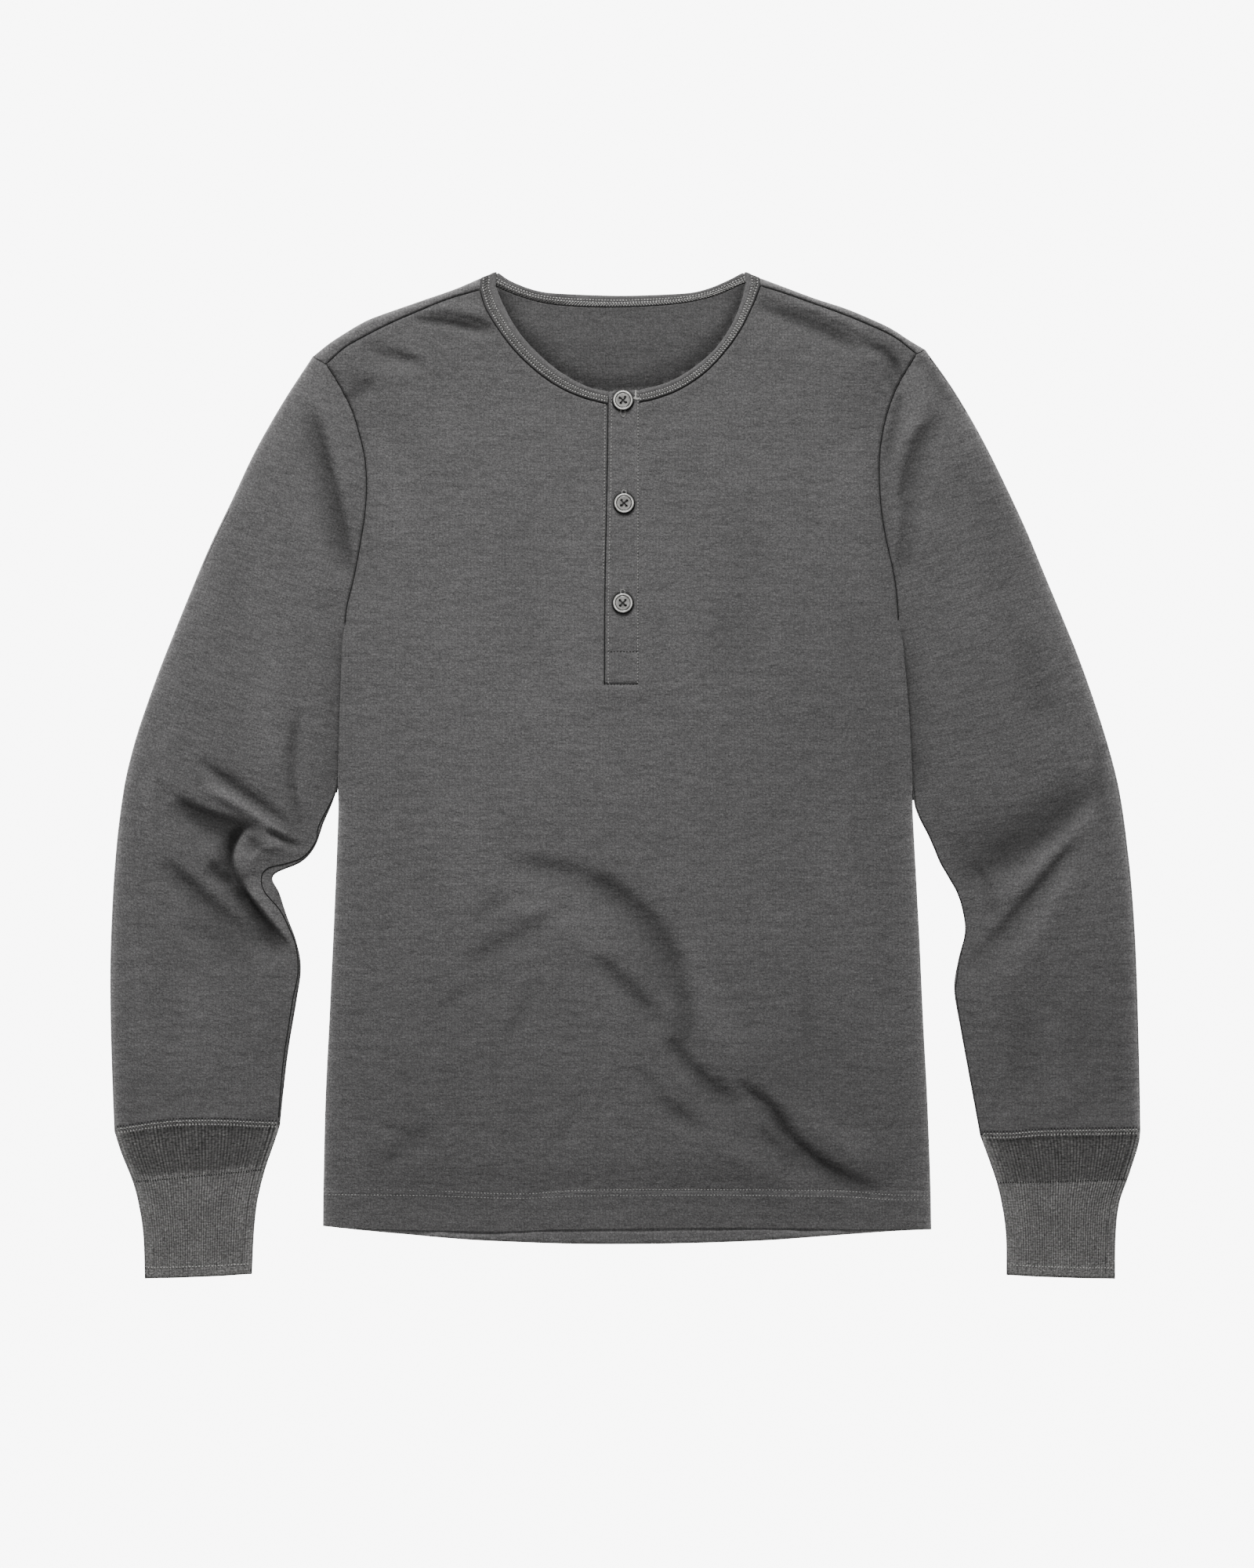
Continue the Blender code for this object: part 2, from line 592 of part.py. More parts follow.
def tube(name, upper, lower, height, relief, slot):
    """A flattened tube: the upper layer, a fold, the lower layer and a fold, ring by ring."""
    outer = []
    inner = []
    for i in range(len(upper)):
        out_first = unit(upper[i, 0] - upper[i, 1])
        out_last = unit(upper[i, -1] - upper[i, -2])
        first = upper[i, 0] - FOLD * out_first
        last = upper[i, -1] - FOLD * out_last
        top = np.vstack((first, upper[i, 1:-1], last))
        low = np.vstack((last, lower[i, 1:-1][::-1], first))
        outer.extend(with_z(top, UPPER + CLOTH + height[i] + relief[i]))
        inner.extend(with_z(top, UPPER + height[i]))
        small = FOLD - CLOTH
        for angle in FOLD_ANGLES:
            reach = math.sin(math.radians(angle))
            rise = math.cos(math.radians(angle))
            outer.append(np.append(last + FOLD * reach * out_last, FOLD + FOLD * rise))
            inner.append(np.append(last + small * reach * out_last, FOLD + small * rise))
        outer.extend(with_z(low, 0.0))
        inner.extend(with_z(low, CLOTH))
        for angle in FOLD_ANGLES:
            reach = math.sin(math.radians(angle))
            rise = math.cos(math.radians(angle))
            outer.append(np.append(first + FOLD * reach * out_first, FOLD - FOLD * rise))
            inner.append(np.append(first + small * reach * out_first, FOLD - small * rise))
    around = len(outer) // len(upper)
    numbers = np.arange(len(outer)).reshape(len(upper), around)
    numbers = np.concatenate((numbers, numbers[:, :1]), axis=1)
    wall(name, np.array(outer), np.array(inner), grid_cells(numbers), slot)


def arm_side(armhole):
    """Which side of the armhole's travel the sleeve lies on."""
    return -1.0 if armhole[0][0] < 0 else 1.0


def underarm_edge(sleeve, side):
    """The sleeve's inner edge, standing a little off the body where it lies along it."""
    path = np.array(sleeve)[:, 2:4].copy()
    touch = smooth((path[:, 1] - UNDERARM_TOUCH_Y) / UNDERARM_TOUCH_LENGTH)
    path[1:, 0] += side * UNDERARM_SPACE * touch[1:]
    return path


def make_arm(side_name, sleeve, cuff, armhole, cuff_seam, creases):
    side = arm_side(armhole)
    outer_edge = np.array(sleeve)[:, 0:2].copy()
    inner_edge = underarm_edge(sleeve, side)
    upper_hole = shifted(upper_armhole(armhole), side * SEAM / 2)
    lower_hole = shifted(spaced(armhole, BACK_ARMHOLE_CELLS), side * SEAM / 2)
    lower_hole[0] = upper_hole[0]
    lower_hole[-1] = upper_hole[-1]
    seam = spaced(cuff_seam, len(upper_hole) - 1)
    sleeve_end = shifted(seam, side * -SEAM / 2)
    cuff_start = shifted(seam, side * SEAM / 2)
    outer_edge[0] = upper_hole[0]
    inner_edge[0] = upper_hole[-1]
    outer_edge[-1] = sleeve_end[0]
    inner_edge[-1] = sleeve_end[-1]
    upper = coons(upper_hole, sleeve_end, outer_edge, inner_edge)
    low_seam = resample(seam, np.linspace(0.0, 1.0, len(lower_hole)))
    low_end = shifted(low_seam, side * -SEAM / 2)
    low_start = shifted(low_seam, side * SEAM / 2)
    lower = coons(lower_hole, low_end, outer_edge, inner_edge)
    height = arm_lift(upper, sleeve, cuff, armhole, creases)
    height[:, 0] = 0.0
    height[:, -1] = 0.0
    tube("sleeve_" + side_name, upper, lower, height, np.zeros_like(height), "jersey")

    columns = 2 * CUFF_RIBS + 2
    rows = np.array(cuff)
    share = np.linspace(0.0, 1.0, columns + 1)
    low_share = np.linspace(0.0, 1.0, CUFF_LOWER_CELLS + 1)
    upper_rows = [resample(cuff_start, share)]
    lower_rows = [resample(low_start, low_share)]
    for row in rows[1:]:
        upper_rows.append(row[0:2] + share[:, None] * (row[2:4] - row[0:2]))
        lower_rows.append(row[0:2] + low_share[:, None] * (row[2:4] - row[0:2]))
    upper = np.array(upper_rows)
    height = arm_lift(upper, sleeve, cuff, armhole, creases)
    height[:, 0] = 0.0
    height[:, -1] = 0.0
    relief = np.zeros_like(height)
    relief[:, 2:-1:2] = RIB_HEIGHT
    tube("cuff_" + side_name, upper, np.array(lower_rows), height, relief, "rib")


def strip_wall(name, rows, slot):
    """A wall from sections that each list matching outer and inner points."""
    outer = np.array([row[0] for row in rows])
    inner = np.array([row[1] for row in rows])
    numbers = np.arange(outer.shape[0] * outer.shape[1]).reshape(outer.shape[:2])
    wall(name, outer.reshape(-1, 3), inner.reshape(-1, 3), grid_cells(numbers), slot)


def binding_section(seam_point, edge_point, low, high):
    """One section of the binding, slightly fuller in the middle."""
    middle = 0.5 * (seam_point + edge_point)
    top = with_z(np.array((seam_point, middle, edge_point)), high)
    top[1, 2] += BINDING_CROWN
    under = with_z(np.array((seam_point, middle, edge_point)), low)
    return top, under


def binding_turn(seam_end, edge_end, out):
    """Sections that bring the binding from the upper layer round to the lower one."""
    sections = []
    for angle in (0.0,) + FOLD_ANGLES + (180.0,):
        reach = math.sin(math.radians(angle))
        rise = math.cos(math.radians(angle))
        points = np.array((seam_end, 0.5 * (seam_end + edge_end), edge_end)) - BINDING_FOLD * out
        small = BINDING_FOLD - BINDING
        crown = np.array((0.0, BINDING_CROWN * rise if rise > 0 else 0.0, 0.0))
        far = with_z(points + BINDING_FOLD * reach * out, BINDING_FOLD + BINDING_FOLD * rise + crown)
        near = with_z(points + small * reach * out, BINDING_FOLD + small * rise)
        sections.append((far, near))
    return sections


def binding_front(neck_seam, neck_edge, side):
    seam = shifted(spaced(neck_seam, NECK_CELLS), side * SEAM / 2)
    edge = spaced(neck_edge, NECK_CELLS)
    seam[-1, 0] = edge[-1, 0]
    seam_height = body_lift(seam)
    edge_height = body_lift(edge)
    sections = []
    for i in range(len(seam)):
        low = BINDING + SEAM + np.array((seam_height[i], 0.5 * (seam_height[i] + edge_height[i]),
                                         edge_height[i]))
        sections.append(binding_section(seam[i], edge[i], low, low + BINDING))
    return sections


def make_binding():
    right = binding_front(NECK_SEAM_RIGHT, NECK_EDGE_RIGHT, 1.0)
    left = binding_front(NECK_SEAM_LEFT, NECK_EDGE_LEFT, -1.0)
    seam = shifted(spaced(BACK_NECK_SEAM, BACK_NECK_CELLS), SEAM / 2)
    edge = spaced(BACK_NECK_EDGE, BACK_NECK_CELLS)
    gap = np.array((SEAM / 2, 0.0))
    out_right = unit(np.array(SHOULDER_FOLD_RIGHT[-1]) - np.array(SHOULDER_SEAM_RIGHT[-1]))
    out_left = unit(np.array(SHOULDER_FOLD_LEFT[-1]) - np.array(SHOULDER_SEAM_LEFT[-1]))
    turn_right = binding_turn(np.array(SHOULDER_FOLD_RIGHT[-1]) + gap, edge[0], out_right)
    turn_left = binding_turn(np.array(SHOULDER_FOLD_LEFT[-1]) - gap, edge[-1], out_left)
    back = []
    for i in range(1, BACK_NECK_CELLS):
        points = np.array((seam[i], 0.5 * (seam[i] + edge[i]), edge[i]))
        back.append((with_z(points, 0.0), with_z(points, BINDING)))
    rows = right[::-1] + turn_right + back + turn_left[::-1] + left
    strip_wall("neck_binding", rows, "binding")


def make_band(name, right_edge, left_edge, low, high, slot):
    """A flat strip of the placket, on the upper layer's own height."""
    right = spaced(right_edge, BAND_CELLS)
    left = spaced(left_edge, BAND_CELLS)
    share = np.linspace(0.0, 1.0, BAND_COLUMNS + 1)[None, :, None]
    grid = right[:, None, :] * (1 - share) + left[:, None, :] * share
    flat = grid.reshape(-1, 2)
    height = body_lift(flat)
    numbers = np.arange(len(flat)).reshape(grid.shape[:2])
    wall(name, with_z(flat, high + height), with_z(flat, low + height), grid_cells(numbers), slot)


def make_placket():
    gap = np.array((SEAM, 0.0))
    rise = np.array((0.0, SEAM))
    under_right = np.array(SLIT_RIGHT) + gap
    under_left = np.array(SLIT_LEFT) - gap
    under_right[-1] += rise
    under_left[-1] += rise
    under_right[0, 1] = BAND_EDGE_RIGHT[0][1]
    under_left[0, 1] = BAND_EDGE_LEFT[0][1]
    make_band("placket_under", under_right, under_left, UPPER, UPPER + CLOTH, "jersey")
    make_band("placket_top", BAND_EDGE_RIGHT, BAND_EDGE_LEFT, BAND_LOW, BAND_LOW + BAND, "jersey")


def circle(radius, sides, centre=(0.0, 0.0)):
    angles = 2 * math.pi * np.arange(sides) / sides
    return np.column_stack((centre[0] + radius * np.cos(angles), centre[1] + radius * np.sin(angles)))


def make_button(name, centre):
    """A round button with four holes and a raised rim."""
    rim = circle(BUTTON_WELL_RADIUS, BUTTON_SIDES)
    loops = [rim]
    hole_centres = []
    for sx, sy in ((-1, -1), (1, -1), (1, 1), (-1, 1)):
        hole_centres.append((sx * BUTTON_HOLE_OFFSET, sy * BUTTON_HOLE_OFFSET))
        loops.append(circle(BUTTON_HOLE_RADIUS, BUTTON_HOLE_SIDES, hole_centres[-1]))
    corners = np.vstack(loops)
    edges = []
    start = 0
    for loop in loops:
        size = len(loop)
        edges.extend((start + i, start + (i + 1) % size) for i in range(size))
        start += size
    cut = delaunay_2d_cdt([Vector(p) for p in corners], edges, [], 1, SAME_POINT)
    plate = []
    for face in cut[2]:
        middle = corners[list(face)].mean(0)
        nearest = min(np.linalg.norm(middle - np.array(c)) for c in hole_centres)
        if nearest > BUTTON_HOLE_CORE * BUTTON_HOLE_RADIUS:
            plate.append(tuple(face))
    count = len(corners)
    base = body_lift(np.array([centre]))[0] + BUTTON_LOW
    places = [with_z(corners, base + BUTTON_WELL_HEIGHT), with_z(corners, base)]
    faces = list(plate) + [tuple(i + count for i in face[::-1]) for face in plate]
    for a, b in edges[BUTTON_SIDES:]:
        faces.append((a, b, b + count))
        faces.append((a, b + count, a + count))
    total = 2 * count
    previous = list(range(BUTTON_SIDES))
    for radius, height in BUTTON_PROFILE:
        places.append(with_z(circle(radius, BUTTON_SIDES), base + height))
        ring = list(range(total, total + BUTTON_SIDES))
        total += BUTTON_SIDES
        faces.extend(ring_faces(previous, ring))
        previous = ring
    faces.extend(ring_faces(previous, list(range(count, count + BUTTON_SIDES))))
    places = np.vstack(places)
    places[:, 0:2] += centre
    add_object(name, places, faces, "button", smooth_faces=True)


def ring_faces(first, second):
    faces = []
    size = len(first)
    for i in range(size):
        k = (i + 1) % size
        faces.append((first[i], second[i], second[k]))
        faces.append((first[i], second[k], first[k]))
    return faces


def centre_on_origin():
    """Moves every piece so the middle of the whole underside is the origin."""
    things = list(bpy.context.scene.collection.objects)
    places = [np.array([vertex.co[:] for vertex in thing.data.vertices]) for thing in things]
    every = np.vstack(places)
    low = every.min(0)
    high = every.max(0)
    move = Vector((-(low[0] + high[0]) / 2, -(low[1] + high[1]) / 2, -low[2]))
    for thing in things:
        for vertex in thing.data.vertices:
            vertex.co += move


def main():
    clear_scene()
    make_back()
    make_front()
    make_arm("right", SLEEVE_RIGHT, CUFF_RIGHT, ARMHOLE_RIGHT, CUFF_SEAM_RIGHT, RIGHT_ARM_CREASES)
    make_arm("left", SLEEVE_LEFT, CUFF_LEFT, ARMHOLE_LEFT, CUFF_SEAM_LEFT, LEFT_ARM_CREASES)
    make_binding()
    make_placket()
    for number, centre in enumerate(BUTTON_CENTRES, start=1):
        make_button("button_%d" % number, centre)
    centre_on_origin()


main()
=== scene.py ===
"""Long-sleeved henley shirt laid flat: cloth, seams, stitching, buttons and a plain stage.

Sizes in the tables are millimetres and are turned into metres when a mesh is made. Left and right
are the wearer's, so the left arm is on the +X side.
"""
import math

import bpy
import numpy as np
from bpy.props import FloatProperty, FloatVectorProperty, IntProperty, PointerProperty
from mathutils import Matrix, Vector


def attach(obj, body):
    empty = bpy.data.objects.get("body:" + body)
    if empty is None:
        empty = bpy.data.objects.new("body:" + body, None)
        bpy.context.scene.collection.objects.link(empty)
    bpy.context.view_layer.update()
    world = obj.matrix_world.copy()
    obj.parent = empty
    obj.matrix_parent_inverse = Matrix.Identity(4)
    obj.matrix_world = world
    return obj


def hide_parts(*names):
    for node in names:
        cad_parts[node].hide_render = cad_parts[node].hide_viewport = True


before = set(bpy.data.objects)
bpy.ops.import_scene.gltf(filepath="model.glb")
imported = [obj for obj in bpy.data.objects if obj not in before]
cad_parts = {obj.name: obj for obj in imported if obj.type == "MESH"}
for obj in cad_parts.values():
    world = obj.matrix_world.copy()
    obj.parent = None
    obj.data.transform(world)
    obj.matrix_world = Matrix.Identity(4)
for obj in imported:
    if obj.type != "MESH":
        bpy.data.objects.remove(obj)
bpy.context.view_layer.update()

bl_info = {
    "name": "Henley Shirt Laid Flat",
    "version": (1, 0, 0),
    "blender": (4, 5, 0),
    "location": "3D View > Sidebar > Henley",
    "description": "Builds the cloth, stitching and buttons of a henley shirt laid flat",
    "category": "Add Mesh",
}

MM = 0.001
BODY = "root"

# The middle of the solids' underside is the origin, this far from the tables' own
CENTRE_SHIFT = (0.1, 0.1)

# Cloth
CLOTH = 1.2
SEAM = 0.3
UPPER = CLOTH + SEAM
FOLD = (UPPER + CLOTH) / 2
HEM_EXTRA = 0.4
BINDING = 1.5
BINDING_FOLD = (2 * BINDING + SEAM) / 2
BAND = 1.5
BAND_LOW = UPPER + CLOTH + SEAM
BUTTON_LOW = BAND_LOW + BAND + SEAM
EDGE_ROLL = 0.35

# How far the upper layer stands off the lower one
BODY_LOFT = 4.2
BODY_REACH = 46.0
ARM_LOFT = 3.8
ARM_REACH = 26.0
CREASE_REACH = 7.0
LOWEST_LIFT = -0.6
HEM_REST = 0.12
HEM_REST_START = -276.0
HEM_REST_LENGTH = 44.0
BACK_HEM_EXTRA = 1.9

# The back inside the neck stands up a little and is darker, partly as the cloth's inner face and partly as
# painted shade, which is deepest beside the binding
NECK_SWELL = 2.4
NECK_SWELL_REACH = 15.0
INSIDE_TONE = 0.71
NECK_SHADE = 0.36

# Painted light and shade: the painted rim light on the body's outer edges, the painted shade on the arms
# beside the body and on the front below its shoulder seams, and the painted shade of a crease per
# millimetre of depth
BODY_RIM_LIGHT = 0.6
SIDE_SHADE = 0.24
SHOULDER_SHADE = 0.17
BODY_CREASE_SHADE = 0.075
ARM_CREASE_SHADE = 0.1

# Painted shade down in a seam and beside it, and painted rim light at an outer edge: amounts and widths
SEAM_SHADES = ((0.2, 1.1), (0.05, 9.0))
EDGE_RIM_LIGHT = ((2.0, 1.7), (0.32, 8.0))

# Slow unevenness of laid cloth: height, size, the choice of waves, and how far in it is full
SWELLS = ((0.28, 95.0, 1.0, 30.0), (0.07, 27.0, 2.0, 10.0))

# Gathers beside seams: the distance from one to the next, their height and their reach
ARMHOLE_GATHERS = (11.0, 0.16, 9.0)
NECK_GATHERS = (7.0, 0.07, 5.0)
HEM_GATHERS = (8.5, 0.10, 9.0)
SHOULDER_GATHERS = (11.0, 0.12, 6.0)
SLEEVE_GATHERS = (11.0, 0.2, 10.0)
CUFF_GATHERS = (8.0, 0.2, 10.0)

# The knitted rows turn with the arm at the elbow: how far out it is, the angle, and over what height
ELBOW_X = 290.0
ARM_TURN = 0.3
ARM_TURN_LOW_Y = -150.0
ARM_TURN_HEIGHT = 220.0

# Broad patches of painted light (amounts above nothing) and painted shade (below nothing): middle, reach
# and how much
PAINTED_LIGHT_PATCHES = ((-60.0, 85.0, 130.0, 0.11), (120.0, -255.0, 85.0, -0.17), (170.0, 20.0, 100.0, -0.1),
                  (-130.0, -235.0, 80.0, -0.08), (262.0, 190.0, 60.0, -0.16), (-300.0, 130.0, 55.0, 0.12),
                  (323.0, -190.0, 60.0, -0.16))

# Seams and edges, x and y of the points they pass through
ARMHOLE_RIGHT = ((-229.4, 306.8), (-219.6, 301.0), (-212.7, 290.7), (-205.3, 277.4), (-199.5, 264.8),
                 (-195.0, 249.3), (-191.3, 233.0), (-189.9, 213.0), (-191.3, 190.6), (-194.9, 168.0),
                 (-199.4, 144.0), (-204.3, 124.0), (-205.8, 111.3))
ARMHOLE_LEFT = ((219.6, 311.9), (213.3, 308.5), (207.2, 298.7), (200.1, 286.6), (195.4, 276.0),
                (191.6, 264.5), (188.6, 252.1), (186.5, 237.8), (185.9, 220.5), (187.4, 195.2),
                (191.0, 173.0), (195.2, 154.4), (198.2, 137.0), (200.1, 114.1))
SIDE_RIGHT = ((-205.8, 111.3), (-206.9, 79.6), (-208.3, 39.4), (-209.7, -6.6), (-211.8, -64.1),
              (-214.3, -121.6), (-217.0, -179.1), (-219.8, -236.6), (-221.2, -294.1), (-221.7, -330.5))
SIDE_LEFT = ((200.1, 114.1), (203.6, 79.6), (206.9, 39.4), (209.3, -6.6), (212.3, -64.1),
             (215.4, -121.6), (218.0, -179.1), (221.0, -236.6), (223.2, -294.1), (224.0, -333.0))
SHOULDER_SEAM_RIGHT = ((-219.6, 301.0), (-207.6, 312.0), (-196.6, 318.8), (-174.2, 330.3),
                       (-152.4, 339.8), (-130.5, 348.7), (-106.9, 355.6))
SHOULDER_SEAM_LEFT = ((213.3, 308.5), (197.8, 320.6), (181.1, 328.8), (159.3, 337.8), (136.8, 345.9),
                      (115.0, 353.6), (98.7, 358.5))
SHOULDER_FOLD_RIGHT = ((-229.4, 306.8), (-217.3, 316.5), (-205.8, 324.0), (-194.3, 330.9),
                       (-182.8, 336.1), (-148.3, 348.2), (-125.3, 356.2), (-106.4, 364.3))
SHOULDER_FOLD_LEFT = ((219.6, 311.9), (208.1, 318.8), (196.6, 326.3), (185.1, 332.1), (162.1, 341.8),
                      (139.1, 349.3), (116.1, 357.9), (98.9, 364.3))
NECK_SEAM_RIGHT = ((-106.9, 355.6), (-100.8, 338.6), (-84.1, 314.0), (-66.5, 296.4), (-48.9, 284.0),
                   (-31.3, 276.2), (-13.0, 271.3))
NECK_SEAM_LEFT = ((98.7, 358.5), (93.7, 345.4), (83.4, 324.6), (70.7, 307.4), (56.9, 293.5),
                  (39.1, 281.9), (21.3, 275.1), (10.1, 272.6))
NECK_EDGE_RIGHT = ((-95.4, 357.9), (-89.4, 343.4), (-78.8, 324.6), (-62.9, 306.9), (-45.4, 293.0),
                   (-27.7, 283.8), (-13.0, 280.3))
NECK_EDGE_LEFT = ((88.3, 360.2), (85.3, 347.6), (77.6, 329.0), (65.5, 311.4), (47.7, 296.4),
                  (30.5, 286.9), (10.1, 281.2))
BACK_NECK_SEAM = ((-106.4, 364.3), (-94.9, 357.9), (-78.8, 351.0), (-57.5, 345.3), (-31.0, 343.0),
                  (1.1, 342.8), (39.1, 345.3), (65.5, 351.0), (85.1, 359.4), (98.9, 364.3))
BACK_NECK_EDGE = ((-94.6, 368.9), (-83.9, 361.8), (-66.7, 355.3), (-48.9, 352.8), (-3.4, 351.2),
                  (41.4, 352.8), (58.6, 355.8), (74.2, 362.0), (87.4, 368.9))
FRONT_HEM_RIGHT = ((-221.7, -330.5), (-192.0, -332.8), (-96.6, -335.0), (-53.0, -333.4), (-9.6, -333.0))
FRONT_HEM_LEFT = ((7.0, -333.0), (59.8, -332.2), (133.4, -332.8), (177.1, -333.4), (224.0, -333.0))
BACK_HEM = ((-221.7, -330.5), (-193.8, -333.6), (-155.5, -337.1), (-119.0, -340.3), (-82.0, -342.2),
            (-38.5, -343.6), (1.1, -343.8), (52.0, -343.0), (104.0, -341.0), (148.0, -337.8),
            (192.0, -334.6), (224.0, -333.0))

# The two sides of the button stand, a seam's gap inside the slit in the front
STAND_RIGHT = ((-9.3, 279.7), (-10.3, 200.0), (-11.1, 130.0), (-11.5, 69.9))
STAND_LEFT = ((6.7, 280.3), (6.7, 200.0), (6.7, 130.0), (6.7, 69.9))

# The top of the hem's doubled cloth, and the stretch over which it steps up to that
HEM_TOP_Y = -304.5
HEM_STEP = 1.5

# Sleeves, one row per section: outer edge x and y, underarm edge x and y
SLEEVE_RIGHT = (
    (-229.4, 306.8, -205.8, 111.3),
    (-250.7, 274.0, -206.9, 90.0),
    (-271.4, 237.8, -207.6, 69.3),
    (-288.6, 201.5, -208.5, 48.0),
    (-304.8, 167.6, -209.2, 26.7),
    (-319.1, 133.7, -209.9, 7.2),
    (-331.2, 103.8, -211.4, -8.9),
    (-342.1, 76.2, -215.4, -21.6),
    (-350.8, 52.0, -221.4, -35.4),
    (-357.6, 31.9, -227.7, -52.6),
    (-362.8, 13.5, -238.0, -64.1),
    (-366.8, -3.7, -258.2, -73.9),
    (-369.7, -21.6, -253.6, -87.1),
    (-372.6, -44.6, -248.4, -103.2),
    (-374.9, -71.0, -241.5, -121.6),
    (-376.6, -99.8, -238.0, -141.7),
    (-377.8, -134.3, -241.5, -167.6),
    (-377.8, -173.4, -247.2, -202.1),
    (-376.6, -219.4, -251.3, -236.6),
    (-374.9, -261.3, -253.3, -256.7),
)
SLEEVE_LEFT = (
    (219.6, 311.9, 200.1, 114.1),
    (240.3, 282.6, 202.9, 92.3),
    (259.9, 249.3, 205.1, 70.4),
    (277.1, 215.3, 206.7, 49.7),
    (293.2, 180.8, 208.1, 29.0),
    (307.0, 147.5, 209.2, 9.5),
    (319.7, 117.0, 210.3, -8.3),
    (331.2, 88.8, 212.0, -22.7),
    (340.4, 63.5, 216.2, -33.6),
    (348.4, 39.4, 221.4, -43.4),
    (355.3, 16.4, 226.0, -53.8),
    (361.1, -6.6, 230.6, -64.7),
    (365.1, -29.6, 236.9, -75.6),
    (368.0, -52.6, 243.2, -87.1),
    (370.3, -72.7, 247.2, -100.3),
    (372.0, -92.9, 248.7, -115.9),
    (373.7, -118.7, 243.8, -136.0),
    (374.9, -147.5, 240.9, -157.3),
    (376.0, -182.0, 245.5, -186.0),
    (376.9, -219.4, 251.8, -220.5),
    (377.6, -261.3, 259.9, -264.4),
)
UNDERARM_SPACE = 0.45
UNDERARM_TOUCH_Y = -10.0
UNDERARM_TOUCH_LENGTH = 30.0

# Cuffs, one row per section: outer edge x and y, inner edge x and y
CUFF_RIGHT = (
    (-374.9, -261.3, -253.3, -256.7),
    (-369.7, -277.4, -257.3, -269.0),
    (-361.1, -299.1, -264.5, -290.0),
    (-356.5, -317.7, -270.0, -313.0),
    (-353.6, -338.7, -272.5, -336.7),
    (-352.6, -368.9, -273.9, -365.6),
)
CUFF_LEFT = (
    (377.6, -261.3, 259.9, -264.4),
    (376.0, -271.7, 263.7, -274.6),
    (369.0, -293.8, 271.4, -296.5),
    (362.0, -314.3, 276.0, -315.7),
    (359.4, -338.7, 278.9, -337.7),
    (359.0, -369.1, 279.2, -366.3),
)
CUFF_SEAM_RIGHT = ((-374.9, -261.3), (-336.0, -255.4), (-298.0, -254.4), (-253.3, -256.7))
CUFF_SEAM_LEFT = ((377.6, -261.3), (331.0, -261.6), (302.0, -262.4), (281.0, -264.0), (259.9, -264.4))

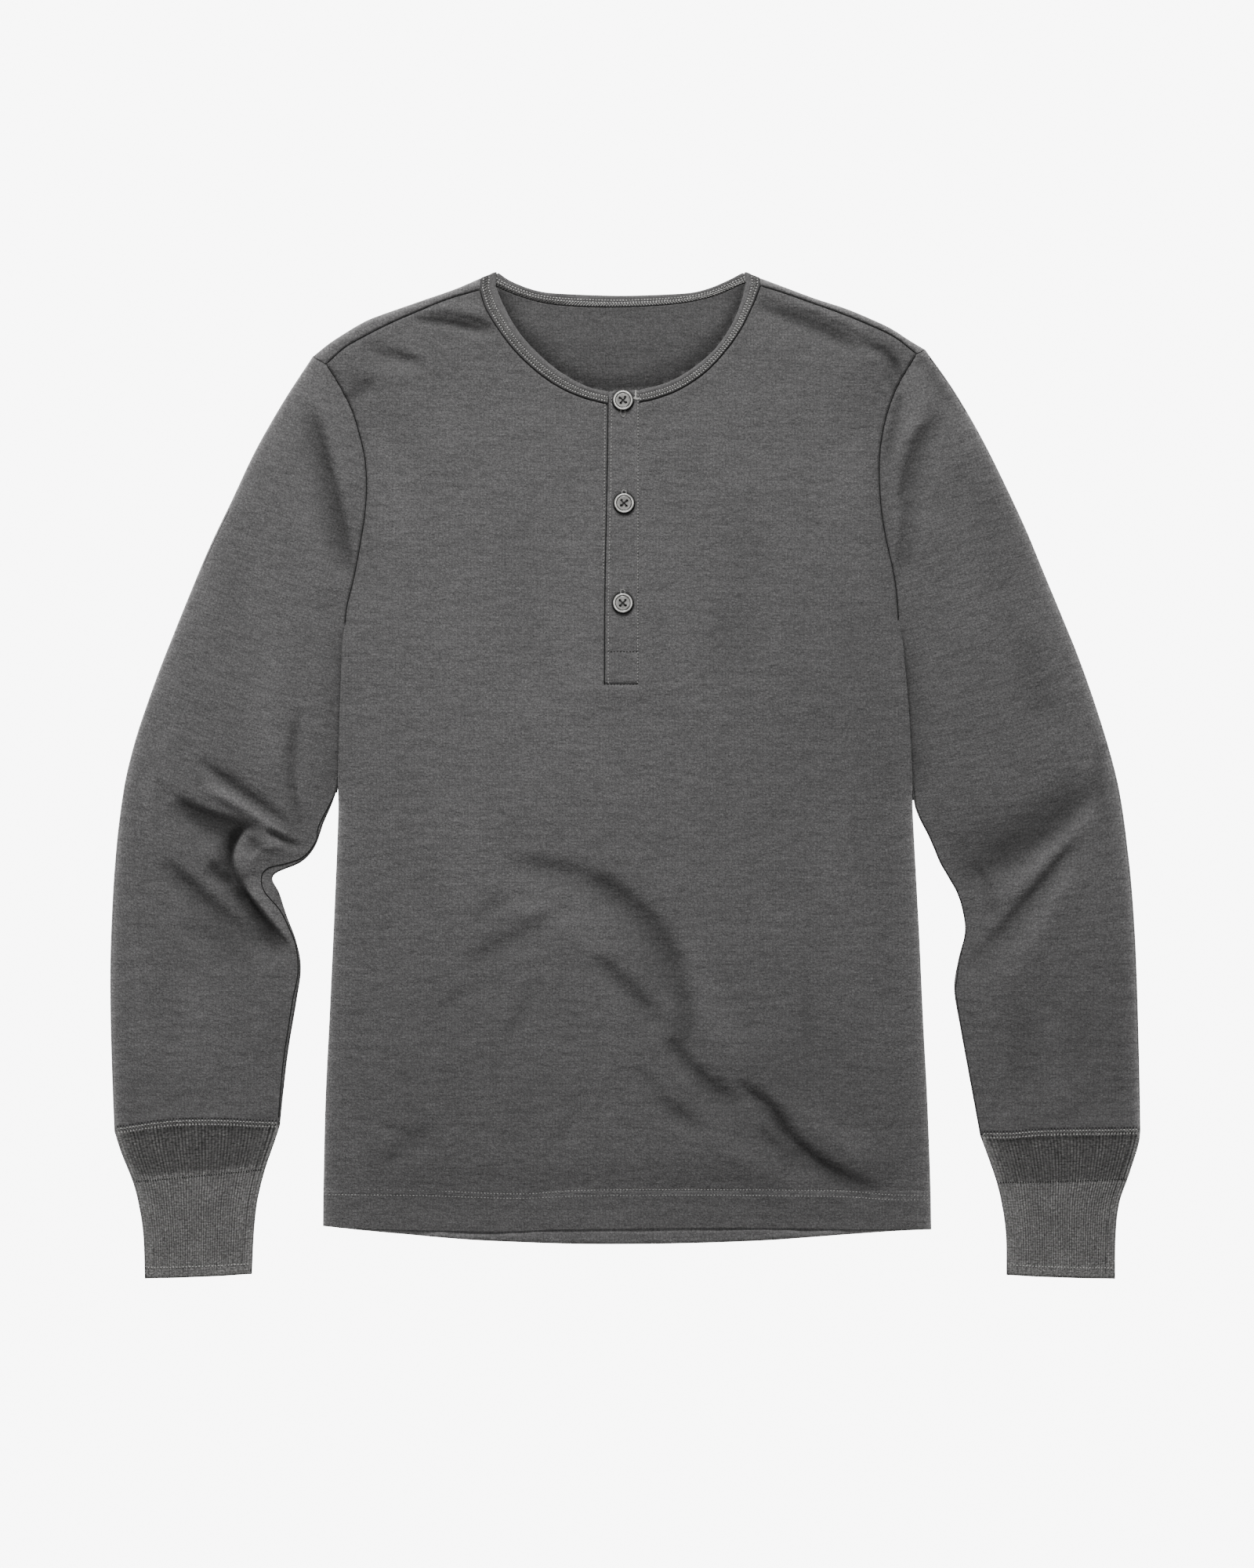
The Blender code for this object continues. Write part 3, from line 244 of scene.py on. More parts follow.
# Creases, one row each: start x and y, bend x and y, end x and y, half width on the left and on
# the right of its run, height
BODY_CREASES = (
    (-90.8, -64.1, -29.0, -66.4, 4.0, -94.0, 5.8, 11.5, -3.1),
    (-24.7, -75.6, 37.1, -109.5, 42.5, -173.4, 7.5, 14.9, -5.0),
    (39.1, -150.4, 50.6, -184.3, 39.1, -209.0, 5.8, 9.2, -3.4),
    (-24.7, -134.3, -0.9, -149.2, 31.0, -191.8, 5.5, 8.0, -3.6),
    (31.0, -191.8, 48.9, -222.2, 87.4, -245.8, 5.3, 8.0, -4.2),
    (81.6, -226.3, 109.2, -238.9, 123.0, -265.4, 3.2, 6.9, -4.5),
    (107.5, -244.7, 131.4, -286.1, 190.9, -306.8, 3.0, 8.0, -5.6),
    (98.9, -257.3, 105.8, -270.5, 135.7, -290.7, 2.9, 5.8, -2.4),
    (15.5, -235.5, 35.6, -249.3, 55.8, -258.5, 4.6, 6.9, -1.8),
    (-40.2, -94.0, -85.7, -124.5, -124.2, -141.2, 9.2, 5.8, -2.0),
    (-179.4, -290.7, -162.2, -270.0, -135.7, -258.5, 6.9, 6.9, -1.8),
    (166.8, -29.6, 170.8, -58.4, 177.1, -87.1, 4.0, 4.0, -1.3),
    (-136.8, -173.4, -116.7, -152.7, -85.1, -150.4, 3.4, 6.9, -1.3),
    (-90.8, -196.4, -73.0, -176.2, -62.1, -144.6, 4.6, 5.8, -1.1),
    (-113.8, -110.1, -93.7, -86.0, -62.1, -89.4, 3.4, 5.8, -1.3),
    (-182.8, -253.9, -168.5, -261.3, -154.1, -261.9, 2.9, 4.6, -1.3),
    (-56.3, -276.9, -40.2, -262.5, -33.3, -236.6, 3.4, 4.6, -1.0),
    (1.1, -207.9, 28.5, -236.0, 61.5, -266.5, 3.4, 6.9, -1.4),
    (129.9, -136.0, 135.1, -173.4, 133.4, -210.7, 4.6, 4.6, -1.0),
    (-156.4, 334.9, -128.8, 335.5, -94.3, 324.6, 3.2, 4.0, -8.1),
    (-194.3, 314.8, -173.6, 309.1, -143.8, 298.7, 3.4, 4.6, -3.4),
    (-207.0, 273.4, -203.0, 281.5, -182.8, 287.2, 3.4, 5.8, -3.6),
    (94.3, 345.9, 143.2, 334.1, 175.9, 314.2, 3.2, 6.9, -6.4),
    (170.2, 317.7, 200.7, 315.4, 201.2, 290.1, 2.5, 5.2, -7.3),
    (191.5, 294.7, 195.8, 288.4, 198.9, 279.7, 2.9, 3.4, -3.6),
    (116.1, 348.2, 153.5, 338.1, 179.4, 324.6, 5.0, 3.0, 1.2),
    (-159.8, 342.4, -131.1, 345.0, -102.3, 337.2, 5.0, 3.0, 1.0),
    (-188.6, 246.4, -164.2, 217.6, -168.5, 165.9, 14.0, 16.0, 1.2),
    (173.6, 246.4, 157.5, 217.6, 159.8, 165.9, 16.0, 14.0, 1.2),
    (-90.8, -92.9, -67.8, -92.9, 1.1, -138.9, 14.0, 16.0, 1.8),
    (47.1, -110.1, 47.2, -182.0, 93.1, -219.4, 14.0, 10.0, 1.6),
    (58.6, -259.6, 104.6, -302.7, 150.6, -311.4, 10.0, 12.0, 1.8),
    (116.1, -236.6, 144.9, -268.2, 196.6, -288.4, 10.0, 9.0, 1.4),
    (-136.8, -6.6, -90.8, -69.9, -136.8, -156.1, 18.0, 22.0, 0.9),
    (139.1, 16.4, 162.1, -52.6, 139.1, -121.6, 22.0, 18.0, 0.9),
    (-62.1, 211.9, -99.5, 131.4, -56.3, 50.9, 23.0, 18.4, -1.1),
    (75.9, 211.9, 101.8, 131.4, 70.1, 50.9, 18.4, 23.0, -1.1),
)
BACK_CREASES = (
    (-120.0, 180.0, -40.0, 120.0, -60.0, 20.0, 12.0, 16.0, 0.5),
    (90.0, 200.0, 60.0, 100.0, 120.0, 30.0, 14.0, 12.0, 0.5),
    (-150.0, -120.0, -60.0, -150.0, 10.0, -240.0, 10.0, 14.0, 0.6),
    (60.0, -60.0, 110.0, -140.0, 90.0, -230.0, 12.0, 10.0, 0.6),
)
RIGHT_ARM_CREASES = (
    (-230.0, 272.3, -206.7, 193.2, -198.4, 142.9, 2.5, 17.2, -5.9),
    (-237.5, 257.9, -224.0, 194.6, -218.5, 131.4, 16.0, 14.0, 1.6),
    (-316.2, 11.8, -270.8, -19.8, -236.9, -49.2, 5.8, 4.6, -4.2),
    (-310.5, -7.8, -276.6, -24.7, -240.3, -47.4, 4.5, 4.0, 3.2),
    (-331.2, -17.5, -303.6, -35.7, -266.8, -43.4, 4.6, 13.8, -6.7),
    (-276.0, -36.5, -297.0, -54.9, -284.6, -77.9, 2.1, 6.9, -7.3),
    (-308.2, -67.6, -289.8, -73.3, -276.0, -92.9, 5.2, 8.0, -5.3),
    (-284.0, -79.1, -266.8, -102.1, -244.9, -129.7, 2.1, 12.6, -7.6),
    (-278.3, -37.7, -290.1, -58.9, -282.3, -77.9, 10.0, 1.2, 3.6),
    (-282.9, -77.9, -266.2, -100.9, -242.6, -130.8, 7.0, 1.2, 3.0),
    (-263.3, -40.0, -253.0, -46.6, -238.0, -54.3, 2.3, 2.9, -4.2),
    (-272.5, -73.3, -277.7, -49.2, -246.1, -52.6, 3.0, 3.0, 1.8),
    (-273.7, -44.6, -275.4, -57.8, -261.0, -54.9, 3.4, 3.4, -3.1),
    (-236.9, 48.0, -252.1, -4.0, -236.3, -43.4, 2.5, 5.8, -3.1),
    (-339.2, -61.8, -319.1, -86.0, -264.5, -128.5, 5.8, 10.3, -3.9),
    (-325.4, -104.4, -304.2, -119.9, -269.1, -142.3, 8.0, 11.5, -1.7),
    (-345.6, 2.0, -355.6, -19.5, -346.1, -58.4, 4.0, 6.0, 1.4),
    (-327.8, 39.4, -358.2, 6.6, -324.3, -14.7, 6.0, 3.0, 1.3),
    (-256.4, 96.9, -270.2, 36.5, -256.4, -12.4, 12.0, 14.0, 1.2),
    (-280.6, 200.4, -289.8, 131.4, -308.2, 62.4, 16.1, 18.4, -1.4),
    (-315.1, -144.6, -316.2, -190.6, -322.0, -236.6, 12.0, 14.0, 1.0),
    (-361.1, -110.1, -355.9, -167.6, -357.6, -225.1, 8.0, 10.0, 0.8),
)
LEFT_ARM_CREASES = (
    (227.7, 268.2, 201.0, 230.9, 203.0, 186.6, 17.2, 2.5, -4.1),
    (203.5, 280.9, 193.5, 252.1, 191.5, 223.4, 4.6, 3.4, -2.8),
    (206.4, 202.7, 205.0, 172.8, 197.8, 138.3, 13.8, 3.4, -2.9),
    (197.2, 222.2, 195.8, 249.3, 225.4, 264.8, 5.0, 5.0, 1.7),
    (231.1, 257.9, 213.9, 206.1, 215.0, 131.4, 14.0, 14.0, 1.6),
    (348.4, -4.3, 309.3, -54.9, 238.0, -77.9, 10.3, 23.0, -4.5),
    (346.1, -19.3, 309.9, -67.0, 266.8, -98.6, 8.0, 8.0, 2.0),
    (332.3, -44.6, 303.0, -83.7, 248.4, -145.8, 9.2, 4.0, -2.7),
    (328.9, -64.1, 313.9, -107.2, 266.8, -161.9, 9.0, 9.0, 1.6),
    (352.5, 22.1, 344.7, 2.6, 358.8, -53.8, 3.4, 5.8, -1.7),
    (253.0, -64.1, 274.8, -87.1, 264.5, -110.1, 4.6, 4.6, -1.7),
    (215.0, 311.9, 228.3, 304.5, 243.8, 257.9, 5.8, 9.2, -2.8),
    (248.4, 211.9, 240.3, 145.8, 259.9, 91.1, 16.0, 14.0, 1.2),
    (300.1, 108.4, 293.0, 68.1, 314.5, 27.9, 16.1, 13.8, -1.5),
    (318.5, -173.4, 309.9, -216.5, 322.0, -248.1, 12.0, 14.0, 1.0),
    (282.9, -156.1, 288.6, -196.4, 294.4, -236.6, 11.5, 11.5, -1.1),
)

# The underarm seam that shows on the right sleeve's face, where the elbow folds
ELBOW_SEAM = ((-207.6, -2.0), (-214.5, -17.0), (-224.8, -37.1), (-227.1, -48.6), (-236.3, -60.1),
              (-250.1, -65.3), (-261.6, -68.1), (-266.8, -74.5), (-264.5, -85.4), (-253.6, -98.6),
              (-246.7, -111.8), (-241.5, -125.6), (-240.1, -144.6), (-243.8, -163.6),
              (-247.2, -184.9), (-251.3, -213.6), (-254.4, -251.0))

# Deep shadow where each sleeve leaves the body's side
SIDE_SHADOWS = (((-210.2, 6.0), (-211.0, -3.7), (-212.6, -13.0)),
                ((209.9, 2.0), (210.3, -9.5), (211.2, -18.5)))

RIGHT_ARM = (SLEEVE_RIGHT, CUFF_RIGHT, ARMHOLE_RIGHT, RIGHT_ARM_CREASES)
LEFT_ARM = (SLEEVE_LEFT, CUFF_LEFT, ARMHOLE_LEFT, LEFT_ARM_CREASES)
ARMS = (("right", RIGHT_ARM, CUFF_SEAM_RIGHT), ("left", LEFT_ARM, CUFF_SEAM_LEFT))

# The placket as it shows: the top band's edges, and the front's cut edges round it
BAND_SHOWN_RIGHT = ((-7.6, 280.9), (-10.8, 279.8), (-12.4, 276.6), (-12.8, 240.0), (-13.2, 210.0),
                    (-14.6, 140.0), (-15.0, 66.4))
BAND_SHOWN_LEFT = ((9.4, 281.0), (9.4, 210.0), (9.3, 140.0), (9.2, 66.4))
SLIT_SHOWN_RIGHT = ((-9.6, 270.9), (-10.6, 200.0), (-11.4, 130.0), (-11.8, 66.1))
SLIT_SHOWN_LEFT = ((9.7, 272.5), (9.7, 200.0), (9.6, 130.0), (9.5, 66.1))

# Where the body's edge lies over the sleeve, and how far it rises and reaches over it
SIDE_TOP_Y = 116.0
SIDE_CONTACT_END_Y = -28.0
OVER_SLEEVE = 1.7
SIDE_OVERLAP = 1.2

PLACKET_FREE_X = -13.5
PLACKET_SEWN_X = 9.4
PLACKET_END_Y = 66.3
PLACKET_BOX_Y = 90.0
PLACKET_RISE = 1.6
PLACKET_SPREAD = 24.0
BAND_ROW_INSET = 2.3
PLACKET_SIDE_ROW = ((-15.0, 272.0), (-15.2, 240.0), (-15.6, 200.0), (-16.3, 143.0))
BAR_TACK = (7.4, 281.0, 274.4)

# Hem stitching, x and y along each row
HEM_ROWS = (((-220.5, -303.6), (-150.0, -304.4), (-80.0, -307.0), (-30.0, -304.4), (60.0, -303.9),
             (150.0, -304.6), (190.0, -307.4), (222.5, -308.4)),
            ((-220.5, -307.6), (-150.0, -308.2), (-80.0, -310.2), (-30.0, -308.4), (60.0, -307.9),
             (150.0, -308.8), (190.0, -311.0), (222.5, -311.6)))

# Cuffs: from the seam to the middle stitch row, from the last row to the end, and from the last row
# to the groove past it
CUFF_BAND = 34.5
CUFF_END_ROW = 7.5
CUFF_GROOVE = 1.6

# Lines down the cuff beside its inner edge: how far in, and how deep they are and how dark their painted
# shade
CUFF_SIDE_LINES = ((3.2, 0.5), (6.6, 0.35))

# How high the hollow beside a rib is, as a share of the rib, and the width of each face's pattern
RIB_HOLLOW = 0.35
RIB_CLOTH = 90.0

# Buttons: centres, how far each buttonhole shows above and below its button, and each one's turn
BUTTON_CENTRES = ((-1.9, 273.8), (-1.1, 198.6), (-2.0, 125.6))
BUTTONHOLE_REACH = ((5.0, 12.0), (9.6, 6.0), (9.8, 6.0))
BUTTONHOLE_HALF_WIDTH = 1.5
BUTTON_TURNS = (0.15, -0.1, 0.05)
BUTTON_STAND = -0.3
# Painted shadow round each button on the band: its distance from the centre and how dark it is
BUTTON_EDGE = 7.25
BUTTON_SHADE = 0.75

# Stage: camera and lights, in metres and watts
CAMERA_LENS = 85.0
CAMERA_SENSOR = 36.0
CAMERA_X = 0.00115
CAMERA_Y = -0.0066
VIEW_HEIGHT = 1.15
STAGE_SIZE = 14.0
BOARD_GLOW = 9.0
AIR_STRENGTH = 0.18
LIGHTS = (
    ("key_softbox", (-0.2, 2.1, 1.35), (0.0, 0.05, 0.0), 1.1, 66.0),
    ("fill_softbox", (-0.3, -0.2, 2.0), (0.0, 0.0, 0.0), 1.6, 7.0),
)


# ---- Curves and grids ----

def smooth(value):
    """A soft step, from 0 at 0 to 1 at 1."""
    t = np.clip(value, 0.0, 1.0)
    return t * t * (3.0 - 2.0 * t)


def bell(away, width):
    """1 where the distance is nothing, fading to 0 past about twice the width."""
    return np.exp(-(away / width) ** 2)


def unit(vector):
    return vector / np.linalg.norm(vector, axis=-1, keepdims=True)


def left_of(way):
    """Level directions to the left of the given ones, as long as those are when seen from above."""
    side = np.zeros(way.shape)
    side[:, 0] = -way[:, 1]
    side[:, 1] = way[:, 0]
    return side


def dense(points, steps=16):
    """A smooth path through the points."""
    p = np.array(points, dtype=float)
    ends = np.vstack((2 * p[0] - p[1], p, 2 * p[-1] - p[-2]))
    t = (np.arange(1, steps + 1) / steps)[:, None]
    path = [p[:1]]
    for i in range(len(p) - 1):
        a, b, c, d = ends[i:i + 4]
        m0 = 0.5 * (c - a)
        m1 = 0.5 * (d - b)
        h = c - b
        path.append(b + m0 * t + (3 * h - 2 * m0 - m1) * t ** 2 + (m0 + m1 - 2 * h) * t ** 3)
    return np.vstack(path)


def lengths(path):
    steps = np.linalg.norm(np.diff(path, axis=0), axis=1)
    return np.concatenate(([0.0], np.cumsum(steps)))


def at_lengths(path, want):
    run = lengths(path)
    return np.column_stack([np.interp(want, run, path[:, k]) for k in range(path.shape[1])])


def at_shares(path, share):
    """Points at shares of a path's whole length."""
    return at_lengths(path, share * lengths(path)[-1])


def shifted(path, amount):
    """The path moved sideways, to the left of its travel when the amount is positive."""
    return path + amount * left_of(unit(np.gradient(path, axis=0)))


def between(path, top, bottom):
    """The stretch of a downward path between two heights."""
    run = lengths(path)
    first, last = np.interp([-top, -bottom], -path[:, 1], run)
    inside = run[(run > first + 0.01) & (run < last - 0.01)]
    return at_lengths(path, np.concatenate(([first], inside, [last])))


def stations(cells, steps, fine=()):
    """Places along an edge in whole cells: even steps, with finer ones at both ends."""
    even = np.arange(0, cells * steps + 1) / steps
    ends = np.array(fine)
    return np.unique(np.concatenate((even, ends, cells - ends)).round(6))


def along_chain(chain, numbers):
    """Points on a chain of paths, each path standing for a count of whole cells."""
    points = np.empty((len(numbers), 2))
    start = 0.0
    for path, cells in chain:
        inside = (numbers >= start - 1e-6) & (numbers <= start + cells + 1e-6)
        share = (numbers[inside] - start) / cells
        points[inside] = at_shares(path, share)
        start += cells
    return points


def rows_path(rows, numbers):
    """A smooth path through table rows, read at row numbers."""
    steps = 16
    path = dense(rows, steps)
    place = np.arange(len(path)) / steps
    return np.column_stack([np.interp(numbers, place, path[:, k]) for k in range(2)])


def coons(top, bottom, left, right):
    """A grid of points inside four edges; rows run from left to right, the first along top."""
    across = 0.5 * (lengths(top) / lengths(top)[-1] + lengths(bottom) / lengths(bottom)[-1])
    down = 0.5 * (lengths(left) / lengths(left)[-1] + lengths(right) / lengths(right)[-1])
    v = across[None, :, None]
    u = down[:, None, None]
    sides = (1 - v) * left[:, None, :] + v * right[:, None, :]
    ends = (1 - u) * top[None, :, :] + u * bottom[None, :, :]
    corners = (1 - u) * ((1 - v) * top[0] + v * top[-1]) + u * ((1 - v) * bottom[0] + v * bottom[-1])
    return sides + ends - corners


def ruled(first, last, share):
    """A grid of points across from one edge to another, at shares of the way."""
    return first[:, None] * (1 - share[None, :, None]) + last[:, None] * share[None, :, None]


def nearest(points, path):
    """For each point: the distance to a path, which side it is on, and how far along (0 to 1)."""
    start = path[:-1]
    step = path[1:] - start
    size = (step * step).sum(1)
    away = points[:, None, :] - start[None, :, :]
    t = np.clip((away * step).sum(2) / size, 0.0, 1.0)
    gap = away - t[:, :, None] * step
    far = (gap * gap).sum(2)
    pick = far.argmin(1)
    rows = np.arange(len(points))
    cross = step[pick, 0] * gap[rows, pick, 1] - step[pick, 1] * gap[rows, pick, 0]
    along = (pick + t[rows, pick]) / len(step)
    return np.sqrt(far[rows, pick]), np.sign(cross), along


def ripple(points, size, seed):
    """A slow uneven swell between -1 and 1, from a few waves that run in different directions."""
    total = np.zeros(len(points))
    for k in range(5):
        angle = seed * 1.7 + k * 2.399
        way = np.array((math.cos(angle), math.sin(angle)))
        total += np.sin(points @ way * (2 * math.pi / (size * (0.7 + 0.17 * k))) + seed * 3.1 + k)
    return total / 5


def crease_height(points, rows):
    """The sum of soft ridges and troughs, each fading out at its ends."""
    total = np.zeros(len(points))
    t = np.linspace(0.0, 1.0, 19)[:, None]
    for x0, y0, x1, y1, x2, y2, left, right, height in rows:
        ends = (1 - t) ** 2 * np.array((x0, y0)) + t ** 2 * np.array((x2, y2))
        path = ends + 2 * t * (1 - t) * np.array((x1, y1))
        reach = 3.0 * max(left, right)
        low = path.min(0) - reach
        high = path.max(0) + reach
        near = np.where(((points > low) & (points < high)).all(1))[0]
        if not len(near):
            continue
        away, side, along = nearest(points[near], path)
        width = np.where(side > 0, left, right) * (0.75 + 0.5 * along)
        fade = np.sqrt(smooth(along / 0.3) * smooth((1 - along) / 0.35))
        total[near] += height * fade * bell(away, width)
    return total


def seam_dip(away, depth=0.9, width=0.9, puff=0.25):
    """The groove cloth makes at a sewn edge, with the slight fullness beside it."""
    return puff * bell(away - 4.5, 3.0) - depth * bell(away, width)


def pucker(points, path, size, height, reach):
    """Small uneven gathers that run out from a seam."""
    away, _, along = nearest(points, path)
    run = along * lengths(path)[-1]
    wave = np.sin(run * 2 * math.pi / size + 1.3 * np.sin(run / 17.0))
    return height * (0.6 + 0.4 * np.sin(run / 23.0)) * wave * np.exp(-(away / reach) ** 1.5)


def gap_to(points, edges):
    """How far each point is from the nearest of the edges."""
    return np.min([nearest(points, edge)[0] for edge in edges], axis=0)


def lift(points, edges, loft, reach, creases):
    """How far the upper layer stands up at each point, nothing along its sewn edges."""
    away = gap_to(points, edges)
    height = loft * smooth(away / reach)
    height += crease_height(points, creases) * smooth(away / CREASE_REACH)
    for swell, size, waves, full in SWELLS:
        height += swell * ripple(points, size, waves) * smooth(away / full)
    return np.clip(height, LOWEST_LIFT * smooth(away / CREASE_REACH), None)


BODY_SEAMS = (dense(SHOULDER_SEAM_RIGHT, 4), dense(SHOULDER_SEAM_LEFT, 4),
              dense(ARMHOLE_RIGHT[1:], 3), dense(ARMHOLE_LEFT[1:], 3))
BODY_SIDES = (np.array(SIDE_RIGHT), np.array(SIDE_LEFT))
NECK_SEAMS = (dense(NECK_SEAM_RIGHT, 4), dense(NECK_SEAM_LEFT, 4))
HEM_LINE = np.array(((-222.0, -306.5), (224.0, -306.5)))


def body_lift(points):
    """How far the front stands up off the back, less and less down to the hem."""
    rest = smooth((HEM_REST_START - points[:, 1]) / HEM_REST_LENGTH)
    loft = BODY_LOFT * (1.0 - (1.0 - HEM_REST) * rest)
    return lift(points, BODY_SEAMS + BODY_SIDES, loft, BODY_REACH, BODY_CREASES)


def painted_light_and_wear(points, seams, creases, strength=BODY_CREASE_SHADE):
    """How light the cloth is painted: painted shade down in its creases and seams, and broad patches of
    painted light and shade.
    """
    tone = 1.0 + strength * np.clip(crease_height(points, creases), -9.0, 1.5)
    for seam in seams:
        away = nearest(points, seam)[0]
        tone -= sum(amount * bell(away, width) for amount, width in SEAM_SHADES)
    for x, y, reach, amount in PAINTED_LIGHT_PATCHES:
        tone += amount * bell(np.linalg.norm(points - (x, y), axis=1), reach)
    return tone


def painted_rim_light(away):
    """How much painted rim light brightens cloth beside an outer edge, at distances from it."""
    return sum(amount * np.exp(-away / width) for amount, width in EDGE_RIM_LIGHT)


def side_contact(y):
    """Where the body's edge lies over the sleeve beside it: 1 there, 0 above and below."""
    return smooth((SIDE_TOP_Y - y) / 25.0) * smooth((y - SIDE_CONTACT_END_Y) / 30.0)


def front_top(points):
    """The height of the front's outside at each point."""
    height = UPPER + CLOTH + body_lift(points) + placket_rise(points)
    height += HEM_EXTRA * smooth((HEM_TOP_Y - points[:, 1]) / HEM_STEP)
    slot = nearest(points, shifted(dense(BAND_SHOWN_RIGHT[2:], 4), -0.7))[0]
    height -= 0.9 * bell(slot, 1.1)
    for row in HEM_ROWS:
        height -= 0.18 * bell(nearest(points, dense(row, 4))[0], 1.1)
    for seam in BODY_SEAMS + NECK_SEAMS:
        height += seam_dip(nearest(points, seam)[0])
    for seam in BODY_SEAMS:
        height += pucker(points, seam, *ARMHOLE_GATHERS)
    for seam in NECK_SEAMS:
        height += pucker(points, seam, *NECK_GATHERS)
    return height + pucker(points, HEM_LINE, *HEM_GATHERS)


def arm_edges(sleeve, cuff, armhole):
    rows = np.array(sleeve + cuff[1:])
    return rows[:, 0:2], rows[:, 2:4], np.array(armhole)


# ---- Making objects ----

def finish_piece(thing, surface, node, replaced=True):
    """Gives a piece its material and hands it over to the shirt's body, for a node or on one."""
    thing.data.materials.clear()
    thing.data.materials.append(surface)
    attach(thing, BODY)
    if replaced:
        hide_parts(node)
    return thing


def add_mesh(name, places, faces, uv=None, tone=None):
    """A smooth-shaded object from points in millimetres, with the place of its cloth and its painted light
    and shade.
    """
    moved = np.array(places, dtype=float)
    moved[:, 0:2] += CENTRE_SHIFT
    mesh = bpy.data.meshes.new(name)
    mesh.from_pydata((moved * MM).tolist(), [], faces)
    mesh.polygons.foreach_set("use_smooth", np.ones(len(mesh.polygons), dtype=bool))
    if uv is not None:
        corners = np.empty(len(mesh.loops), dtype=np.int32)
        mesh.loops.foreach_get("vertex_index", corners)
        layer = mesh.uv_layers.new(name="cloth")
        layer.data.foreach_set("uv", (np.array(uv)[corners] * MM).astype(np.float32).ravel())
        layer = mesh.attributes.new("tone", "FLOAT", "POINT")
        tone = np.ones(len(places)) if tone is None else tone
        layer.data.foreach_set("value", np.array(tone, dtype=np.float32))
    mesh.update()
    thing = bpy.data.objects.new(name, mesh)
    bpy.context.scene.collection.objects.link(thing)
    return thing


def signed_volume(places, faces):
    """Six times the volume inside the faces, below nothing when they are inside out."""
    total = 0.0
    for corners in (3, 4):
        some = np.array([f for f in faces if len(f) == corners])
        if len(some):
            a, b, c = places[some[:, 0]], places[some[:, 1]], places[some[:, 2]]
            total += np.einsum("ij,ij->i", a, np.cross(b, c)).sum()
            if corners == 4:
                d = places[some[:, 3]]
                total += np.einsum("ij,ij->i", a, np.cross(c, d)).sum()
    return total


def numbered(grid):
    """A number for each point of a grid, in the order of its rows."""
    return np.arange(grid.shape[0] * grid.shape[1]).reshape(grid.shape[:2])


def grid_cells(numbers):
    """Cells of a grid of corner numbers; a missing corner (-1) leaves its cells out."""
    corners = np.stack((numbers[:-1, :-1], numbers[1:, :-1], numbers[1:, 1:], numbers[:-1, 1:]), -1)
    corners = corners.reshape(-1, 4)
    return corners[corners.min(1) >= 0]


def wall(name, outer, inner, cells, uv, tone=None, roll=EDGE_ROLL):
    """A closed cloth wall between two matching sheets, its raw edges rounded over."""
    count = len(outer)
    faces = cells.tolist() + (cells[:, ::-1] + count).tolist()
    starts = cells.ravel()
    ends = np.roll(cells, -1, axis=1).ravel()
    key = starts.astype(np.int64) * (2 * count) + ends
    back = ends.astype(np.int64) * (2 * count) + starts
    open_edges = ~np.isin(key, back)
    cell_of = np.arange(len(cells)).repeat(4)[open_edges]
    first = starts[open_edges]
    last = ends[open_edges]
    middle = outer[cells[cell_of]].mean(1)
    thick = outer[first] - inner[first]
    out = unit(np.cross(outer[last] - outer[first], thick))
    facing = np.einsum("ij,ij->i", out, 0.5 * (outer[first] + outer[last]) - middle)
    out *= np.where(facing < 0, -1.0, 1.0)[:, None]
    rim = np.unique(np.concatenate((first, last)))
    push = np.zeros((count, 3))
    np.add.at(push, first, out)
    np.add.at(push, last, out)
    edge = 0.5 * (outer[rim] + inner[rim]) + roll * unit(push[rim])
    number = np.full(count, -1)
    number[rim] = 2 * count + np.arange(len(rim))
    a, b = first, last
    faces += np.column_stack((a, number[a], number[b], b)).tolist()
    faces += np.column_stack((number[a], a + count, b + count, number[b])).tolist()
    places = np.vstack((outer, inner, edge))
    both = np.vstack((uv, uv, uv[rim]))
    tone = (np.ones(count), np.ones(count)) if tone is None else tone
    tones = np.concatenate((tone[0], tone[1], tone[0][rim]))
    used = np.zeros(len(places), dtype=bool)
    used[np.concatenate((cells.ravel(), cells.ravel() + count, number[rim]))] = True
    renumber = np.cumsum(used) - 1
    faces = [[int(renumber[i]) for i in face] for face in faces]
    places = places[used]
    if signed_volume(places, faces) < 0:
        faces = [face[::-1] for face in faces]
    return add_mesh(name, places, faces, both[used], tones[used])


def with_z(points, z):
    return np.column_stack((points, np.broadcast_to(z, len(points))))


# ---- Body ----

# Rows of the front beside the neck, beside the slit and below it, and its columns on each half
NECK_CELLS = 7
SLIT_CELLS = 9
BODY_CELLS = 14
FRONT_COLUMNS = 12
SLIT_END = NECK_CELLS + 1 + SLIT_CELLS
FINE_ENDS = (0.03, 0.07, 0.12, 0.2)
# Rows of the strip that wraps over a shoulder, as shares of the way from its fold to its seam
SHOULDER_ROWS = (0.3, 0.6, 0.8, 0.9, 0.95, 0.98, 1.0)


